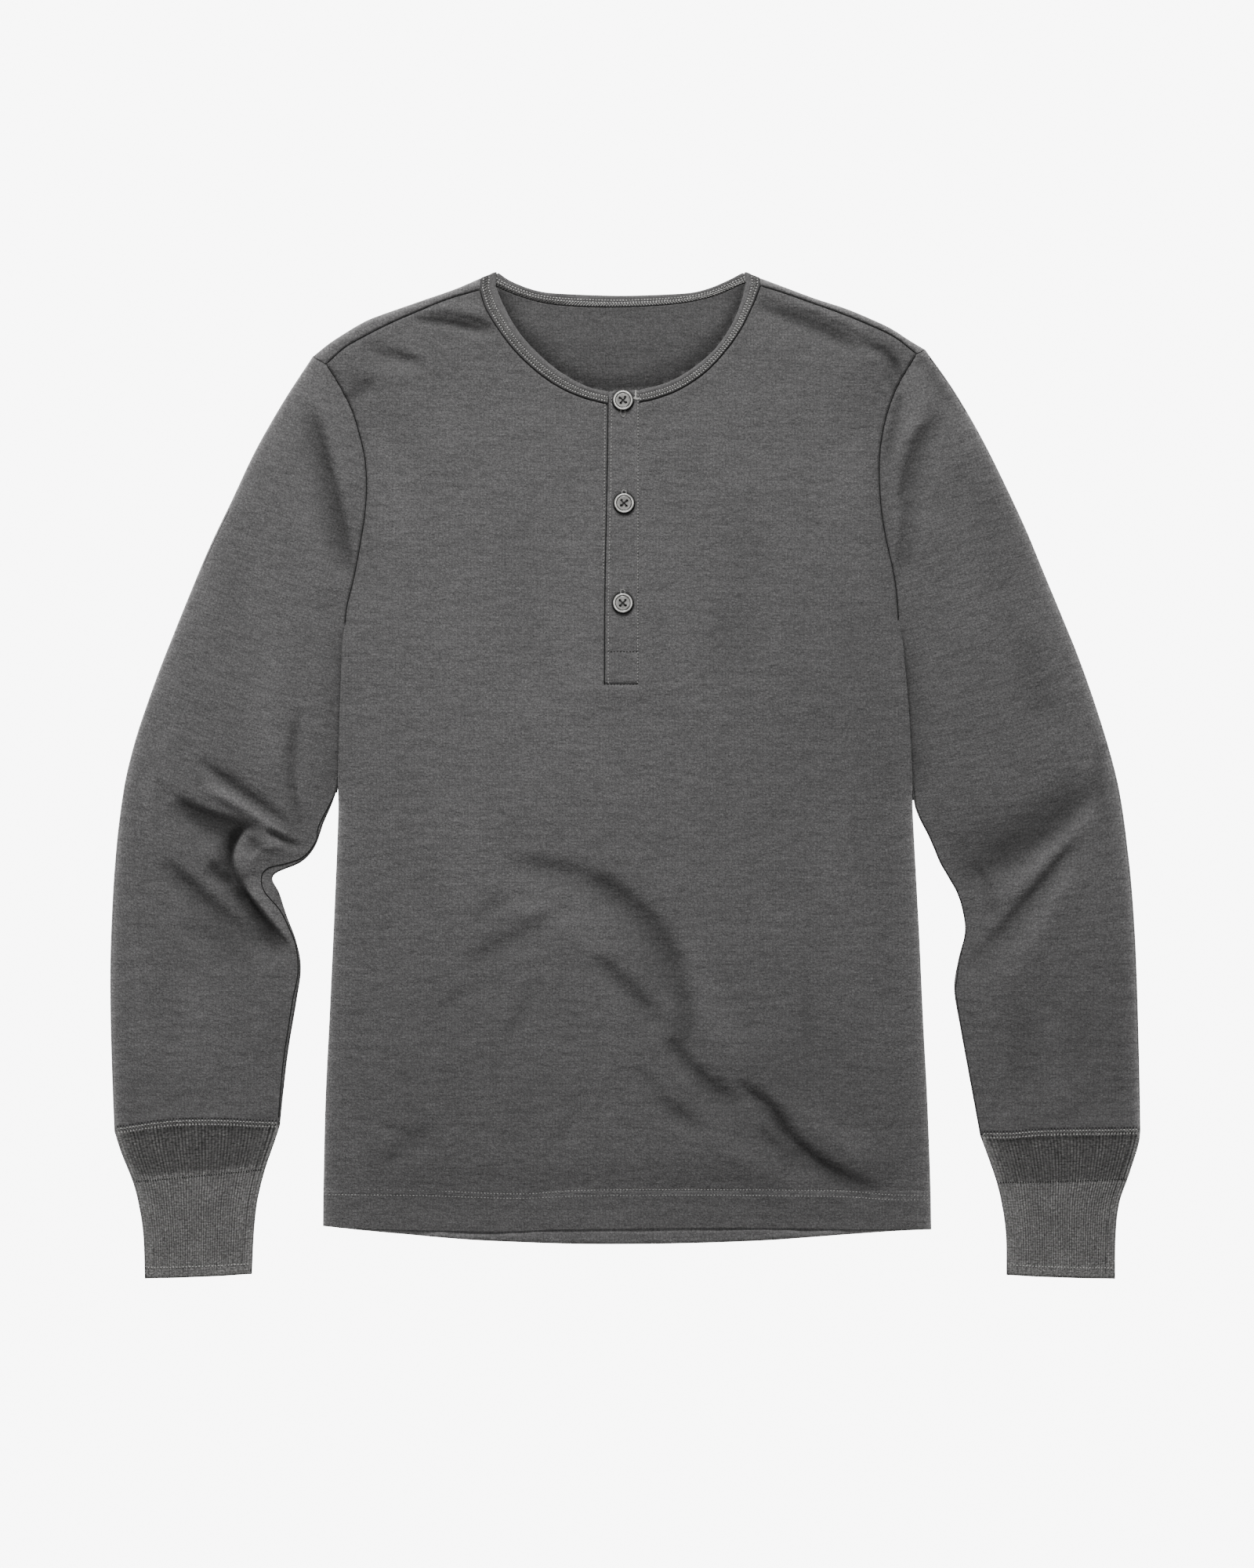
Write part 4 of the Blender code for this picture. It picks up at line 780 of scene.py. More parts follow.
def front_half(armhole, side, shoulder, neck, slit, hem, steps):
    """The fine grid of one front half, from its shoulder seam down to the hem."""
    sides = dense(side)
    hem_low = HEM_TOP_Y - HEM_STEP
    outer = [(dense(armhole[1:]), 14), (between(sides, sides[0, 1], 60.0), 3),
             (between(sides, 60.0, HEM_TOP_Y), BODY_CELLS), (between(sides, HEM_TOP_Y, hem_low), 1),
             (between(sides, hem_low, sides[-1, 1]), 1)]
    centre = dense((slit[-1], (slit[-1][0], 0.0), (slit[-1][0], -200.0), hem[-1]))
    inner = [(dense(neck), NECK_CELLS), (np.array((neck[-1], slit[0])), 1), (dense(slit), SLIT_CELLS),
             (between(centre, centre[0, 1], HEM_TOP_Y), BODY_CELLS),
             (between(centre, HEM_TOP_Y, hem_low), 1), (between(centre, hem_low, centre[-1, 1]), 1)]
    rows = stations(SLIT_END + BODY_CELLS + 2, steps, FINE_ENDS)
    columns = stations(FRONT_COLUMNS, steps - 1, FINE_ENDS)
    top = along_chain([(dense(shoulder), FRONT_COLUMNS)], columns)
    bottom = along_chain([(dense(hem), FRONT_COLUMNS)], columns)
    return rows, coons(top, bottom, along_chain(outer, rows), along_chain(inner, rows))


def cut_in(flat, cells, amount):
    """Draws a sheet's outer points in by the amount, so two pieces stand clear at a seam."""
    starts = cells.ravel()
    ends = np.roll(cells, -1, axis=1).ravel()
    size = len(flat)
    lone = ~np.isin(starts.astype(np.int64) * size + ends, ends.astype(np.int64) * size + starts)
    first, last = starts[lone], ends[lone]
    inward = left_of(unit(flat[last] - flat[first]))
    push = np.zeros_like(flat)
    np.add.at(push, first, inward)
    np.add.at(push, last, inward)
    moved = np.linalg.norm(push, axis=1) > 0
    result = flat.copy()
    result[moved] += amount * unit(push[moved])
    return result


def make_front(sizes):
    """The front: a sheet between the seams, slit at the neck, that follows the lift of the body."""
    steps = sizes.cloth_steps
    rows, right = front_half(ARMHOLE_RIGHT, SIDE_RIGHT, SHOULDER_SEAM_RIGHT, NECK_SEAM_RIGHT,
                             SLIT_SHOWN_RIGHT, FRONT_HEM_RIGHT, steps)
    rows, left = front_half(ARMHOLE_LEFT, SIDE_LEFT, SHOULDER_SEAM_LEFT, NECK_SEAM_LEFT,
                            SLIT_SHOWN_LEFT, FRONT_HEM_LEFT[::-1], steps)
    left = left[:, ::-1]
    share = (np.arange(1, 6) / 6)[None, :, None]
    middle = right[:, -1:] * (1 - share) + left[:, :1] * share
    grid = np.concatenate((right, middle, left), axis=1)
    corners = numbered(grid)
    corners[rows < SLIT_END - 0.001, right.shape[1]:right.shape[1] + 5] = -1
    cells = grid_cells(corners)
    flat = cut_in(grid.reshape(-1, 2), cells, SEAM / 2)
    top = front_top(flat)
    edge = gap_to(flat, BODY_SIDES)
    beside = side_contact(flat[:, 1])
    top += OVER_SLEEVE * beside * bell(edge, 7.0) - 0.5 * bell(edge, 1.4)
    flat[:, 0] += np.sign(flat[:, 0]) * SIDE_OVERLAP * beside * bell(edge, 4.0)
    low = UPPER + 1.3 * beside * bell(edge, 5.0)
    under = np.maximum(top - sizes.jersey / MM, low)
    # Painted shade in the creases and seams and below the shoulder seams, and painted rim light along the
    # lower body's outer edges, clear of the sleeves
    tone = painted_light_and_wear(flat, BODY_SEAMS + NECK_SEAMS, BODY_CREASES)
    for seam in BODY_SEAMS[:2]:
        away = nearest(flat, seam)[0]
        tone -= SHOULDER_SHADE * smooth(away / 22.0) * bell(away, 50.0)
    tone += BODY_RIM_LIGHT * painted_rim_light(edge) * (flat[:, 1] < 0.0) * (1.0 - beside)
    return wall("front_cloth", with_z(flat, top), with_z(flat, under), cells, flat, (tone, tone))


def fold_over(edge, seam, radius, thickness, angles):
    """Rows of a cloth turned over at an edge, from the lower layer to the upper one."""
    out = unit(edge - seam)
    base = edge - radius * out
    outer = []
    inner = []
    small = radius - thickness
    for angle in angles:
        reach = math.sin(angle)
        rise = math.cos(angle)
        outer.append(with_z(base + radius * reach * out, radius - radius * rise))
        inner.append(with_z(base + small * reach * out, radius - small * rise))
    return outer, inner


def wrap_shoulder(seam_points, fold, edge, numbers):
    """Rows of the strip of the back that turns over a shoulder and runs to its seam."""
    seam = along_chain([(dense(seam_points), 6)], numbers)
    seam = shifted(seam, math.copysign(SEAM / 2, -seam[0, 0]))
    seam[0] += edge[0] - fold[0]
    outer, inner = fold_over(edge, seam, FOLD, CLOTH, np.linspace(0.0, math.pi, 9))
    base = outer[-1][:, :2]
    for part in SHOULDER_ROWS:
        place = base * (1 - part) + seam * part
        top_z = 2 * FOLD + seam_dip(np.linalg.norm(place - seam, axis=1), 0.7, 0.55, 0.1)
        top_z += pucker(place, seam, *SHOULDER_GATHERS)
        outer.append(with_z(place, top_z))
        inner.append(with_z(place, top_z - CLOTH))
    return outer, inner


def back_layers(flat, top, bottom, neck):
    """Heights of the back's outside and inside, and how light the inside is, with its painted light and
    shade.
    """
    under = np.clip(crease_height(flat, BACK_CREASES) + 0.15 * ripple(flat, 80.0, 4.0), 0.0, None)
    under *= smooth(gap_to(flat, BODY_SIDES + (top[::4], bottom[::4])) / 25.0)
    front_hem = np.vstack((dense(FRONT_HEM_RIGHT, 4), dense(FRONT_HEM_LEFT, 4)))
    past_hem = np.interp(flat[:, 0], front_hem[:, 0], front_hem[:, 1]) - flat[:, 1]
    hem = BACK_HEM_EXTRA * smooth((past_hem + 0.5) / 1.5)
    neckline = np.vstack((dense(NECK_EDGE_RIGHT, 4), dense(NECK_EDGE_LEFT, 4)[::-1]))
    open_neck = flat[:, 1] > np.interp(flat[:, 0], neckline[:, 0], neckline[:, 1])
    shown = nearest(flat, neckline)[0] * open_neck
    swell = NECK_SWELL * smooth(shown / NECK_SWELL_REACH) * smooth(nearest(flat, neck)[0] / 30.0)
    # Painted rim light along the back's hem, and painted light that softens the shadow under the front's
    # hem
    hem_painted_light = BODY_RIM_LIGHT * painted_rim_light(nearest(flat, bottom)[0]) + 0.6 * bell(past_hem, 1.5)
    tone = np.where(shown > 0, INSIDE_TONE - NECK_SHADE * bell(shown, 7.0), 1.0 + hem_painted_light)
    return under * 0.6, CLOTH + 0.5 * under + hem + swell, tone


def make_back(sizes):
    """The back: the lower sheet, with a strip at each shoulder that wraps over to the front's seam."""
    steps = sizes.cloth_steps
    numbers = stations(6, steps, (0.03, 0.08))
    fold_right = along_chain([(dense(SHOULDER_FOLD_RIGHT), 6)], numbers)
    fold_left = along_chain([(dense(SHOULDER_FOLD_LEFT), 6)], numbers)
    neck = along_chain([(dense(BACK_NECK_SEAM), 8)], stations(8, steps))
    top = np.vstack((fold_right, neck[1:], fold_left[::-1][1:]))
    bottom = at_shares(dense(BACK_HEM), lengths(top) / lengths(top)[-1])
    rows = stations(16, steps, FINE_ENDS[1:])
    right = along_chain([(dense(ARMHOLE_RIGHT), 7), (dense(SIDE_RIGHT), 9)], rows)
    left = along_chain([(dense(ARMHOLE_LEFT), 7), (dense(SIDE_LEFT), 9)], rows)
    grid = coons(top, bottom, right, left)
    cells = grid_cells(numbered(grid))
    flat = cut_in(grid.reshape(-1, 2), cells, SEAM / 2)
    outside, inside, tone = back_layers(flat, top, bottom, neck)
    outer = [with_z(flat, outside)]
    inner = [with_z(flat, inside)]
    uv = [flat]
    inner_tone = [tone]
    count = len(flat)
    right_columns = np.arange(len(numbers))
    for seam, fold, columns in ((SHOULDER_SEAM_RIGHT, fold_right, right_columns),
                                (SHOULDER_SEAM_LEFT, fold_left, len(top) - 1 - right_columns)):
        outer_rows, inner_rows = wrap_shoulder(seam, fold, flat[columns], numbers)
        outer[0][columns] = outer_rows[0]
        inner[0][columns] = inner_rows[0]
        outer += outer_rows[1:]
        inner += inner_rows[1:]
        uv += [row[:, :2] + (0.0, 40.0) for row in outer_rows[1:]]
        added = np.arange(count, count + (len(outer_rows) - 1) * len(columns))
        inner_tone.append(np.ones(len(added)))
        count += len(added)
        strip_numbers = np.vstack((columns, added.reshape(-1, len(columns))))[::-1]
        if columns[0] > columns[-1]:
            strip_numbers = strip_numbers[:, ::-1]
        cells = np.vstack((cells, grid_cells(strip_numbers)))
    outer = np.vstack(outer)
    # Painted shade at the shoulder seams, and painted rim light along the shoulder folds
    tone = painted_light_and_wear(outer[:, :2], BODY_SEAMS[:2], ()) + painted_rim_light(gap_to(outer[:, :2], (fold_right, fold_left)))
    tones = (tone, np.concatenate(inner_tone))
    return wall("back_cloth", outer, np.vstack(inner), cells, np.vstack(uv), tones)


# ---- Arms ----

TURN = np.linspace(0.0, math.pi, 8)[1:-1]


def tube(name, upper, lower, top, under, inside, uv_upper, uv_lower, tone):
    """A flattened tube of cloth: the upper layer, a fold, the lower layer and a fold."""
    outer = []
    inner = []
    uv = []
    tones = []
    small = FOLD - CLOTH
    reach = np.sin(TURN)[:, None]
    rise = np.cos(TURN)[:, None]
    for i in range(len(upper)):
        out_first = unit(upper[i, 0] - upper[i, 1])
        out_last = unit(upper[i, -1] - upper[i, -2])
        first = upper[i, 0] - FOLD * out_first
        last = upper[i, -1] - FOLD * out_last
        across = np.vstack((first, upper[i, 1:-1], last))
        back = np.vstack((last, lower[i, 1:-1][::-1], first))
        outer.append(with_z(across, top[i]))
        inner.append(with_z(across, inside[i]))
        outer.append(np.hstack((last + FOLD * reach * out_last, FOLD + FOLD * rise)))
        inner.append(np.hstack((last + small * reach * out_last, FOLD + small * rise)))
        outer.append(with_z(back, under[i][::-1]))
        inner.append(with_z(back, under[i][::-1] + CLOTH))
        outer.append(np.hstack((first + FOLD * reach * out_first, FOLD - FOLD * rise)))
        inner.append(np.hstack((first + small * reach * out_first, FOLD - small * rise)))
        turn = np.linspace(0.2, 4.0, len(TURN))[:, None] * (1.0, 0.0)
        uv += [uv_upper[i], uv_upper[i, -1] + turn, uv_lower[i][::-1], uv_upper[i, 0] - turn[::-1]]
        for row, last in ((tone[0][i], tone[0][i, -1]), (tone[1][i][::-1], tone[0][i, 0])):
            tones += [row, np.full(len(TURN), last)]
    outer = np.vstack(outer)
    around = len(outer) // len(upper)
    numbers = np.arange(len(outer)).reshape(len(upper), around)
    numbers = np.concatenate((numbers, numbers[:, :1]), axis=1)
    tones = np.concatenate(tones)
    return wall(name, outer, np.vstack(inner), grid_cells(numbers), np.vstack(uv), (tones, tones))


def sleeve_grain(grid, side):
    """Places on a sleeve, turned so that its knitted rows lie across the upper arm and the forearm."""
    x, y = grid[..., 0] - side * ELBOW_X, grid[..., 1]
    turn = side * ARM_TURN * smooth((y - ARM_TURN_LOW_Y) / ARM_TURN_HEIGHT)
    return np.stack((x * np.cos(turn) + y * np.sin(turn), y * np.cos(turn) - x * np.sin(turn)), axis=2)


def edge_light(grid, both):
    """The painted rim light along the outer long edge of a grid, or along both."""
    steps = np.linalg.norm(np.diff(grid, axis=1), axis=2)
    start = np.concatenate((np.zeros((len(grid), 1)), np.cumsum(steps, axis=1)), axis=1)
    return painted_rim_light(np.minimum(start, start[:, -1:] - start) if both else start)


def side_of(arm):
    """-1 for the right arm and 1 for the left one."""
    return math.copysign(1.0, arm[0][0][0])


def sleeve_edges(arm, ring_numbers):
    """The sleeve's outer and underarm edges read at ring numbers."""
    table = np.array(arm[0])
    outer_edge = rows_path(table[:, 0:2], ring_numbers)
    inner_edge = rows_path(table[:, 2:4], ring_numbers)
    touch = smooth((inner_edge[:, 1] - UNDERARM_TOUCH_Y) / UNDERARM_TOUCH_LENGTH)
    touch *= smooth(ring_numbers)
    inner_edge[:, 0] += side_of(arm) * UNDERARM_SPACE * touch
    return outer_edge, inner_edge


def arm_lift(points, arm):
    sleeve, cuff, armhole, creases = arm
    return lift(points, arm_edges(sleeve, cuff, armhole), ARM_LOFT, ARM_REACH, creases)


def make_sleeve(name, arm, cuff_seam, steps):
    """A sleeve: a flattened tube from the armhole to the seam of the cuff."""
    sleeve, cuff, armhole, creases = arm
    side = side_of(arm)
    rings = stations(len(sleeve) - 1, steps, (0.03, 0.08, 0.16))
    outer_edge, inner_edge = sleeve_edges(arm, rings)
    columns = stations(15, 6, (0.1,))
    low_columns = stations(8, 5)
    hole = [(np.array(armhole[:2]), 1), (dense(armhole[1:]), 14)]
    upper_hole = shifted(along_chain(hole, columns), side * SEAM / 2)
    lower_hole = shifted(along_chain([(dense(armhole), 8)], low_columns), side * SEAM / 2)
    seam = dense(cuff_seam)
    upper_end = shifted(along_chain([(seam, 15)], columns), -side * SEAM / 2)
    lower_end = shifted(along_chain([(seam, 8)], low_columns), -side * SEAM / 2)
    lower_hole[[0, -1]] = upper_hole[[0, -1]]
    lower_end[[0, -1]] = upper_end[[0, -1]]
    outer_edge[0], outer_edge[-1] = upper_hole[0], upper_end[0]
    inner_edge[0], inner_edge[-1] = upper_hole[-1], upper_end[-1]
    upper = coons(upper_hole, upper_end, outer_edge, inner_edge)
    lower = coons(lower_hole, lower_end, outer_edge, inner_edge)
    flat = upper.reshape(-1, 2)
    hole_path = dense(armhole, 3)
    top = UPPER + CLOTH + arm_lift(flat, arm)
    for path, gathers in ((hole_path, SLEEVE_GATHERS), (seam, CUFF_GATHERS)):
        top += seam_dip(nearest(flat, path)[0]) + pucker(flat, path, *gathers)
    top = top.reshape(upper.shape[:2])
    top[:, [0, -1]] = np.minimum(top[:, [0, -1]], 2 * FOLD)
    low = lower.reshape(-1, 2)
    away = gap_to(low, arm_edges(sleeve, cuff, armhole))
    under = 0.35 * np.clip(ripple(low, 60.0, 6.0), 0.0, None) * smooth(away / 25.0)
    # Painted shade in the creases and seams and beside the body, and painted rim light along the outer edge
    tone = painted_light_and_wear(flat, (hole_path, seam), creases, ARM_CREASE_SHADE)
    beside = nearest(flat, BODY_SIDES[0 if side < 0 else 1])[0]
    shade = SIDE_SHADE * bell(beside, 13.0) + 2.0 * SIDE_SHADE * bell(beside, 2.6)
    tone -= shade * side_contact(flat[:, 1])
    tone += edge_light(upper, False).ravel()
    tone = (tone.reshape(top.shape), np.ones(lower.shape[:2]))
    return tube(name, upper, lower, top, under.reshape(lower.shape[:2]), np.maximum(top - CLOTH, UPPER),
                sleeve_grain(upper, side), sleeve_grain(lower, side), tone)


def cuff_faces(arm, cuff_seam, shares):
    """The cuff's upper and lower faces as grids, and its width in each row."""
    table = np.array(arm[1])
    rings = stations(len(table) - 1, 7, (0.06, 0.15))
    left = rows_path(table[:, 0:2], rings)
    right = rows_path(table[:, 2:4], rings)
    # The first rows of each face bend from the straight rows below them to the line of the seam
    blend = (1 - smooth(rings / 1.2))[:, None, None]
    faces = []
    for share in shares:
        start = shifted(at_shares(dense(cuff_seam), share), side_of(arm) * SEAM / 2)
        face = ruled(left, right, share)
        faces.append(face + blend * (start - face[0]))
    return *faces, np.linalg.norm(right - left, axis=1)[:, None]


def make_cuff(name, arm, cuff_seam, sizes):
    """A cuff: a flattened tube of ribs from its seam to its end."""
    ribs = sizes.rib_count
    shares = [np.arange(ribs * fine + 1) / (ribs * fine) for fine in (6, 4)]
    upper, lower, width = cuff_faces(arm, cuff_seam, shares)
    rib, low_rib = [RIB_HOLLOW + (1 - RIB_HOLLOW) * np.abs(np.cos(math.pi * share * ribs))
                    for share in shares]
    flat = upper.reshape(-1, 2)
    height = arm_lift(flat, arm).reshape(upper.shape[:2])
    down = np.abs(upper[:, :, 1].mean(1) - upper[0, :, 1].mean())[:, None]
    to_end = down[-1] - down
    from_row = to_end - CUFF_END_ROW + CUFF_GROOVE
    band = smooth((down - CUFF_BAND + 2.0) / 3.0)
    depth = sizes.rib_depth / MM * (0.75 + 0.25 * band) * smooth(down / 3.0)
    depth = depth * np.where(to_end < CUFF_END_ROW - 1.0, 0.35, 1.0)
    groove = bell(down - CUFF_BAND, 1.1) * 0.35 + bell(from_row, 0.9) * 0.4
    top = UPPER + CLOTH + height + depth * (rib - 0.5) - groove - bell(to_end, 2.2) * 0.5
    top += seam_dip(nearest(flat, dense(cuff_seam))[0], 0.5).reshape(top.shape)
    # The band beside the sleeve is darker than the rest; the grooves and the lines down the side get
    # painted shade, and the long edges and the end painted rim light
    shade = 0.54 + 0.46 * band - 0.35 * bell(down - 3.4, 1.2) - 0.5 * bell(from_row, 0.8)
    tone = rib * shade + edge_light(upper, True) + 0.8 * painted_rim_light(to_end)
    inner_side = width * (1 - (shares[0] if side_of(arm) < 0 else 1 - shares[0]))
    for inset, drop in CUFF_SIDE_LINES:
        top -= drop * bell(inner_side - inset, 0.7)
        tone = tone - drop * bell(inner_side - inset, 0.8)
    top[:, [0, -1]] = 2 * FOLD
    under = depth * (1 - low_rib) * smooth(down / 4.0)
    under[:, [0, -1]] = 0.0
    uv = [np.stack(np.broadcast_arrays(share * RIB_CLOTH, -down), axis=2) for share in shares]
    return tube(name, upper, lower, top, under, UPPER + 0.9 * height, *uv, (tone, low_rib * shade))


# ---- Neck binding and placket ----

# Across the binding from its seam to its free edge: the share of the way, and the height
BINDING_CROSS = ((0.0, -0.75), (0.02, -0.45), (0.05, -0.15), (0.10, 0.02), (0.14, -0.02), (0.19, -0.14),
                 (0.25, -0.04), (0.31, 0.04), (0.37, 0.06), (0.43, 0.04), (0.49, -0.02), (0.55, -0.14),
                 (0.62, 0.08), (0.72, 0.32), (0.82, 0.34), (0.92, 0.06), (0.98, -0.35), (1.0, -0.6))
BINDING_ROWS = (0.19, 0.55)
# Shares across the binding, and how light its cloth is there: painted shade down at the seam, darker
# between the needle rows and lighter on the roll of the free edge
BINDING_TONES = ((0.0, 0.04, 0.08, 0.2, 0.26, 0.37, 0.48, 0.55, 0.65, 1.0),
                 (0.5, 0.75, 0.85, 0.8, 0.62, 0.6, 0.62, 0.9, 1.1, 1.08))
# At the back of the neck the same, darkest with painted shade at the seam
BINDING_BACK_TONES = ((0.0, 0.04, 0.12, 0.3, 0.5, 0.6, 1.0), (0.2, 0.3, 0.7, 0.8, 0.85, 1.0, 1.05))
BINDING_TURN = np.linspace(0.0, math.pi, 13)


def placket_rise(points):
    """The front comes up to the top band along the band's sewn side and lower end."""
    x, y = points[:, 0], points[:, 1]
    side = np.clip(x - PLACKET_SEWN_X, 0.0, None)
    below = np.clip(PLACKET_END_Y - y, 0.0, None)
    free = np.clip(PLACKET_FREE_X - x, 0.0, None)
    away = np.sqrt((side + free) ** 2 + below ** 2)
    rise = PLACKET_RISE * (1.0 - smooth(away / PLACKET_SPREAD))
    return rise * np.where(free > 0, smooth((PLACKET_END_Y + 10.0 - y) / 12.0), 1.0)


def binding_front(seam_points, edge_points, side, count):
    """The seam and the free edge of the binding on one side of the front, point for point."""
    share = np.linspace(0.0, 1.0, count)
    seam = shifted(at_shares(dense(seam_points), share), side * SEAM / 2)
    edge = at_shares(dense(edge_points), share)
    seam[-1, 0] = edge[-1, 0]
    return seam, edge


def binding_surfaces():
    """The binding's outside and inside: right front, turn, back, turn, left front."""
    across = np.array([row[0] for row in BINDING_CROSS])
    crown = np.array([row[1] for row in BINDING_CROSS])
    edge_round = np.clip(-crown, 0.0, 0.4)
    outer = []
    inner = []

    def add_front(seam, edge):
        for low, high in zip(seam, edge):
            flat = low * (1 - across[:, None]) + high * across[:, None]
            base = BINDING + SEAM + body_lift(flat) + placket_rise(flat)
            outer.append(with_z(flat, base + BINDING + crown))
            inner.append(with_z(flat, base + 0.5 * edge_round))

    def add_turn(corner, edge_end, out, angles):
        flat = corner * (1 - across[:, None]) + edge_end * across[:, None] - BINDING_FOLD * out
        for angle in angles:
            reach, rise = math.sin(angle), math.cos(angle)
            full = BINDING_FOLD + crown * (0.5 + 0.5 * rise)
            small = BINDING_FOLD - BINDING
            outer.append(with_z(flat + full[:, None] * reach * out, BINDING_FOLD + full * rise))
            inner.append(with_z(flat + small * reach * out, BINDING_FOLD + small * rise))

    gap = np.array((SEAM / 2, 0.0))
    corner_right = np.array(SHOULDER_FOLD_RIGHT[-1])
    corner_left = np.array(SHOULDER_FOLD_LEFT[-1])
    out_right = unit(corner_right - np.array(SHOULDER_SEAM_RIGHT[-1]))
    out_left = unit(corner_left - np.array(SHOULDER_SEAM_LEFT[-1]))
    back_share = np.linspace(0.0, 1.0, 97)
    seam = shifted(at_shares(dense(BACK_NECK_SEAM), back_share), SEAM / 2)
    edge = at_shares(dense(BACK_NECK_EDGE), back_share)
    front_seam, front_edge = binding_front(NECK_SEAM_RIGHT, NECK_EDGE_RIGHT, 1.0, 80)
    add_front(front_seam[::-1], front_edge[::-1])
    add_turn(corner_right + gap, edge[0], out_right, BINDING_TURN)
    for low, high in zip(seam[1:-1], edge[1:-1]):
        flat = low * (1 - across[:, None]) + high * across[:, None]
        outer.append(with_z(flat, 0.5 * edge_round))
        inner.append(with_z(flat, BINDING + crown * 0.8))
    add_turn(corner_left - gap, edge[-1], out_left, BINDING_TURN[::-1])
    front_seam, front_edge = binding_front(NECK_SEAM_LEFT, NECK_EDGE_LEFT, -1.0, 80)
    add_front(front_seam, front_edge)
    return np.array(outer), np.array(inner)


def strip(name, outer, inner, level=False, tone=None):
    """A wall from grids of matching outside and inside points, with cloth lengths for its UV."""
    middle = outer[:, outer.shape[1] // 2]
    along = lengths(middle)[:, None] * np.ones(outer.shape[1])
    steps = np.linalg.norm(np.diff(outer, axis=1), axis=2)
    across = np.concatenate((np.zeros((len(outer), 1)), np.cumsum(steps, axis=1)), axis=1)
    uv = outer[:, :, :2].reshape(-1, 2) if level else np.stack((along, across), axis=2).reshape(-1, 2)
    cells = grid_cells(numbered(outer))
    return wall(name, outer.reshape(-1, 3), inner.reshape(-1, 3), cells, uv, tone, 0.2)


def band_grid(right_edge, left_edge, rows, columns):
    """Points between a band's two long edges, from the top down."""
    share = np.linspace(0.0, 1.0, rows)
    right = at_shares(dense(right_edge), share)
    left = at_shares(dense(left_edge), share)
    across = np.concatenate(((0.0, 0.02, 0.06), np.linspace(0.12, 0.88, columns), (0.94, 0.98, 1.0)))
    return ruled(right, left, across)


def top_band_height(points):
    """The top band's outside: it follows the front under it, with a soft roll on its free edge."""
    height = BAND_LOW + BAND + body_lift(points)
    free = nearest(points, dense(BAND_SHOWN_RIGHT, 4))[0]
    sewn = nearest(points, dense(BAND_SHOWN_LEFT, 4))[0]
    height += 0.22 * bell(free - 1.2, 1.2) - 0.7 * bell(free, 0.7)
    height -= 0.25 * bell(free - BAND_ROW_INSET, 0.8)
    height -= 0.12 * bell(sewn, 1.2)
    height -= 0.25 * bell(points[:, 1] - PLACKET_END_Y, 1.0)
    height -= 0.35 * bell(points[:, 1] - PLACKET_BOX_Y, 1.0)
    height += 0.12 * ripple(points, 34.0, 5.0)
    for x, y in BUTTON_CENTRES:
        away = np.hypot(points[:, 0] - x, points[:, 1] - y)
        height -= 0.35 * np.exp(-(away / 7.0) ** 4)
    return height


def on_band(path, above):
    """The path laid on the top band's outside, or a little above it."""
    return with_z(path, top_band_height(path) + above)


def make_placket():
    """The two bands: the one with buttonholes on top, the button stand below it."""
    grid = band_grid(BAND_SHOWN_RIGHT, BAND_SHOWN_LEFT, 110, 15)
    shape = grid.shape[:2] + (3,)
    flat = grid.reshape(-1, 2)
    outer = on_band(flat, 0.0).reshape(shape)
    inner = with_z(flat, BAND_LOW + body_lift(flat)).reshape(shape)
    # The top band is a little lighter, with painted shadow round each button's edge
    tone = np.full(len(flat), 1.06)
    for centre in BUTTON_CENTRES:
        rim = np.linalg.norm(flat - centre, axis=1) - BUTTON_EDGE
        tone -= BUTTON_SHADE * bell(rim, 1.3)
    upper = strip("top_band", outer, inner, True, (tone, tone))
    grid = band_grid(STAND_RIGHT, STAND_LEFT, 60, 7)
    shape = grid.shape[:2] + (3,)
    flat = grid.reshape(-1, 2)
    height = UPPER + body_lift(flat)
    outer = with_z(flat, CLOTH + height).reshape(shape)
    inner = with_z(flat, height).reshape(shape)
    return upper, strip("button_stand", outer, inner, True)


# ---- Sewing ----

def start_primitive():
    """Deselects everything, so a new primitive is all that the edit tools touch."""
    bpy.ops.object.select_all(action="DESELECT")


def take_shape():
    """Points and faces of the active object, which is removed."""
    thing = bpy.context.view_layer.objects.active
    bpy.ops.object.transform_apply(location=True, rotation=True, scale=True)
    places = np.array([vertex.co[:] for vertex in thing.data.vertices])
    faces = [tuple(face.vertices) for face in thing.data.polygons]
    mesh = thing.data
    bpy.data.objects.remove(thing, do_unlink=True)
    bpy.data.meshes.remove(mesh)
    return places, faces


def one_stitch():
    """A single stitch of thread: a rounded bead, stretched along and drawn down at both ends."""
    start_primitive()
    bpy.ops.mesh.primitive_uv_sphere_add(segments=6, ring_count=4, radius=0.5,
                                         rotation=(0.0, math.pi / 2, 0.0))
    bpy.ops.object.transform_apply(location=True, rotation=True, scale=True)
    bpy.ops.object.mode_set(mode="EDIT")
    bpy.ops.mesh.select_all(action="SELECT")
    bpy.ops.transform.resize(value=(1.0, 1.0, 0.8))
    bpy.ops.mesh.select_all(action="DESELECT")
    bpy.ops.object.mode_set(mode="OBJECT")
    thing = bpy.context.view_layer.objects.active
    for vertex in thing.data.vertices:
        vertex.select = abs(vertex.co.x) > 0.4
    bpy.ops.object.mode_set(mode="EDIT")
    bpy.ops.transform.translate(value=(0.0, 0.0, -0.25))
    bpy.ops.object.mode_set(mode="OBJECT")
    return take_shape()


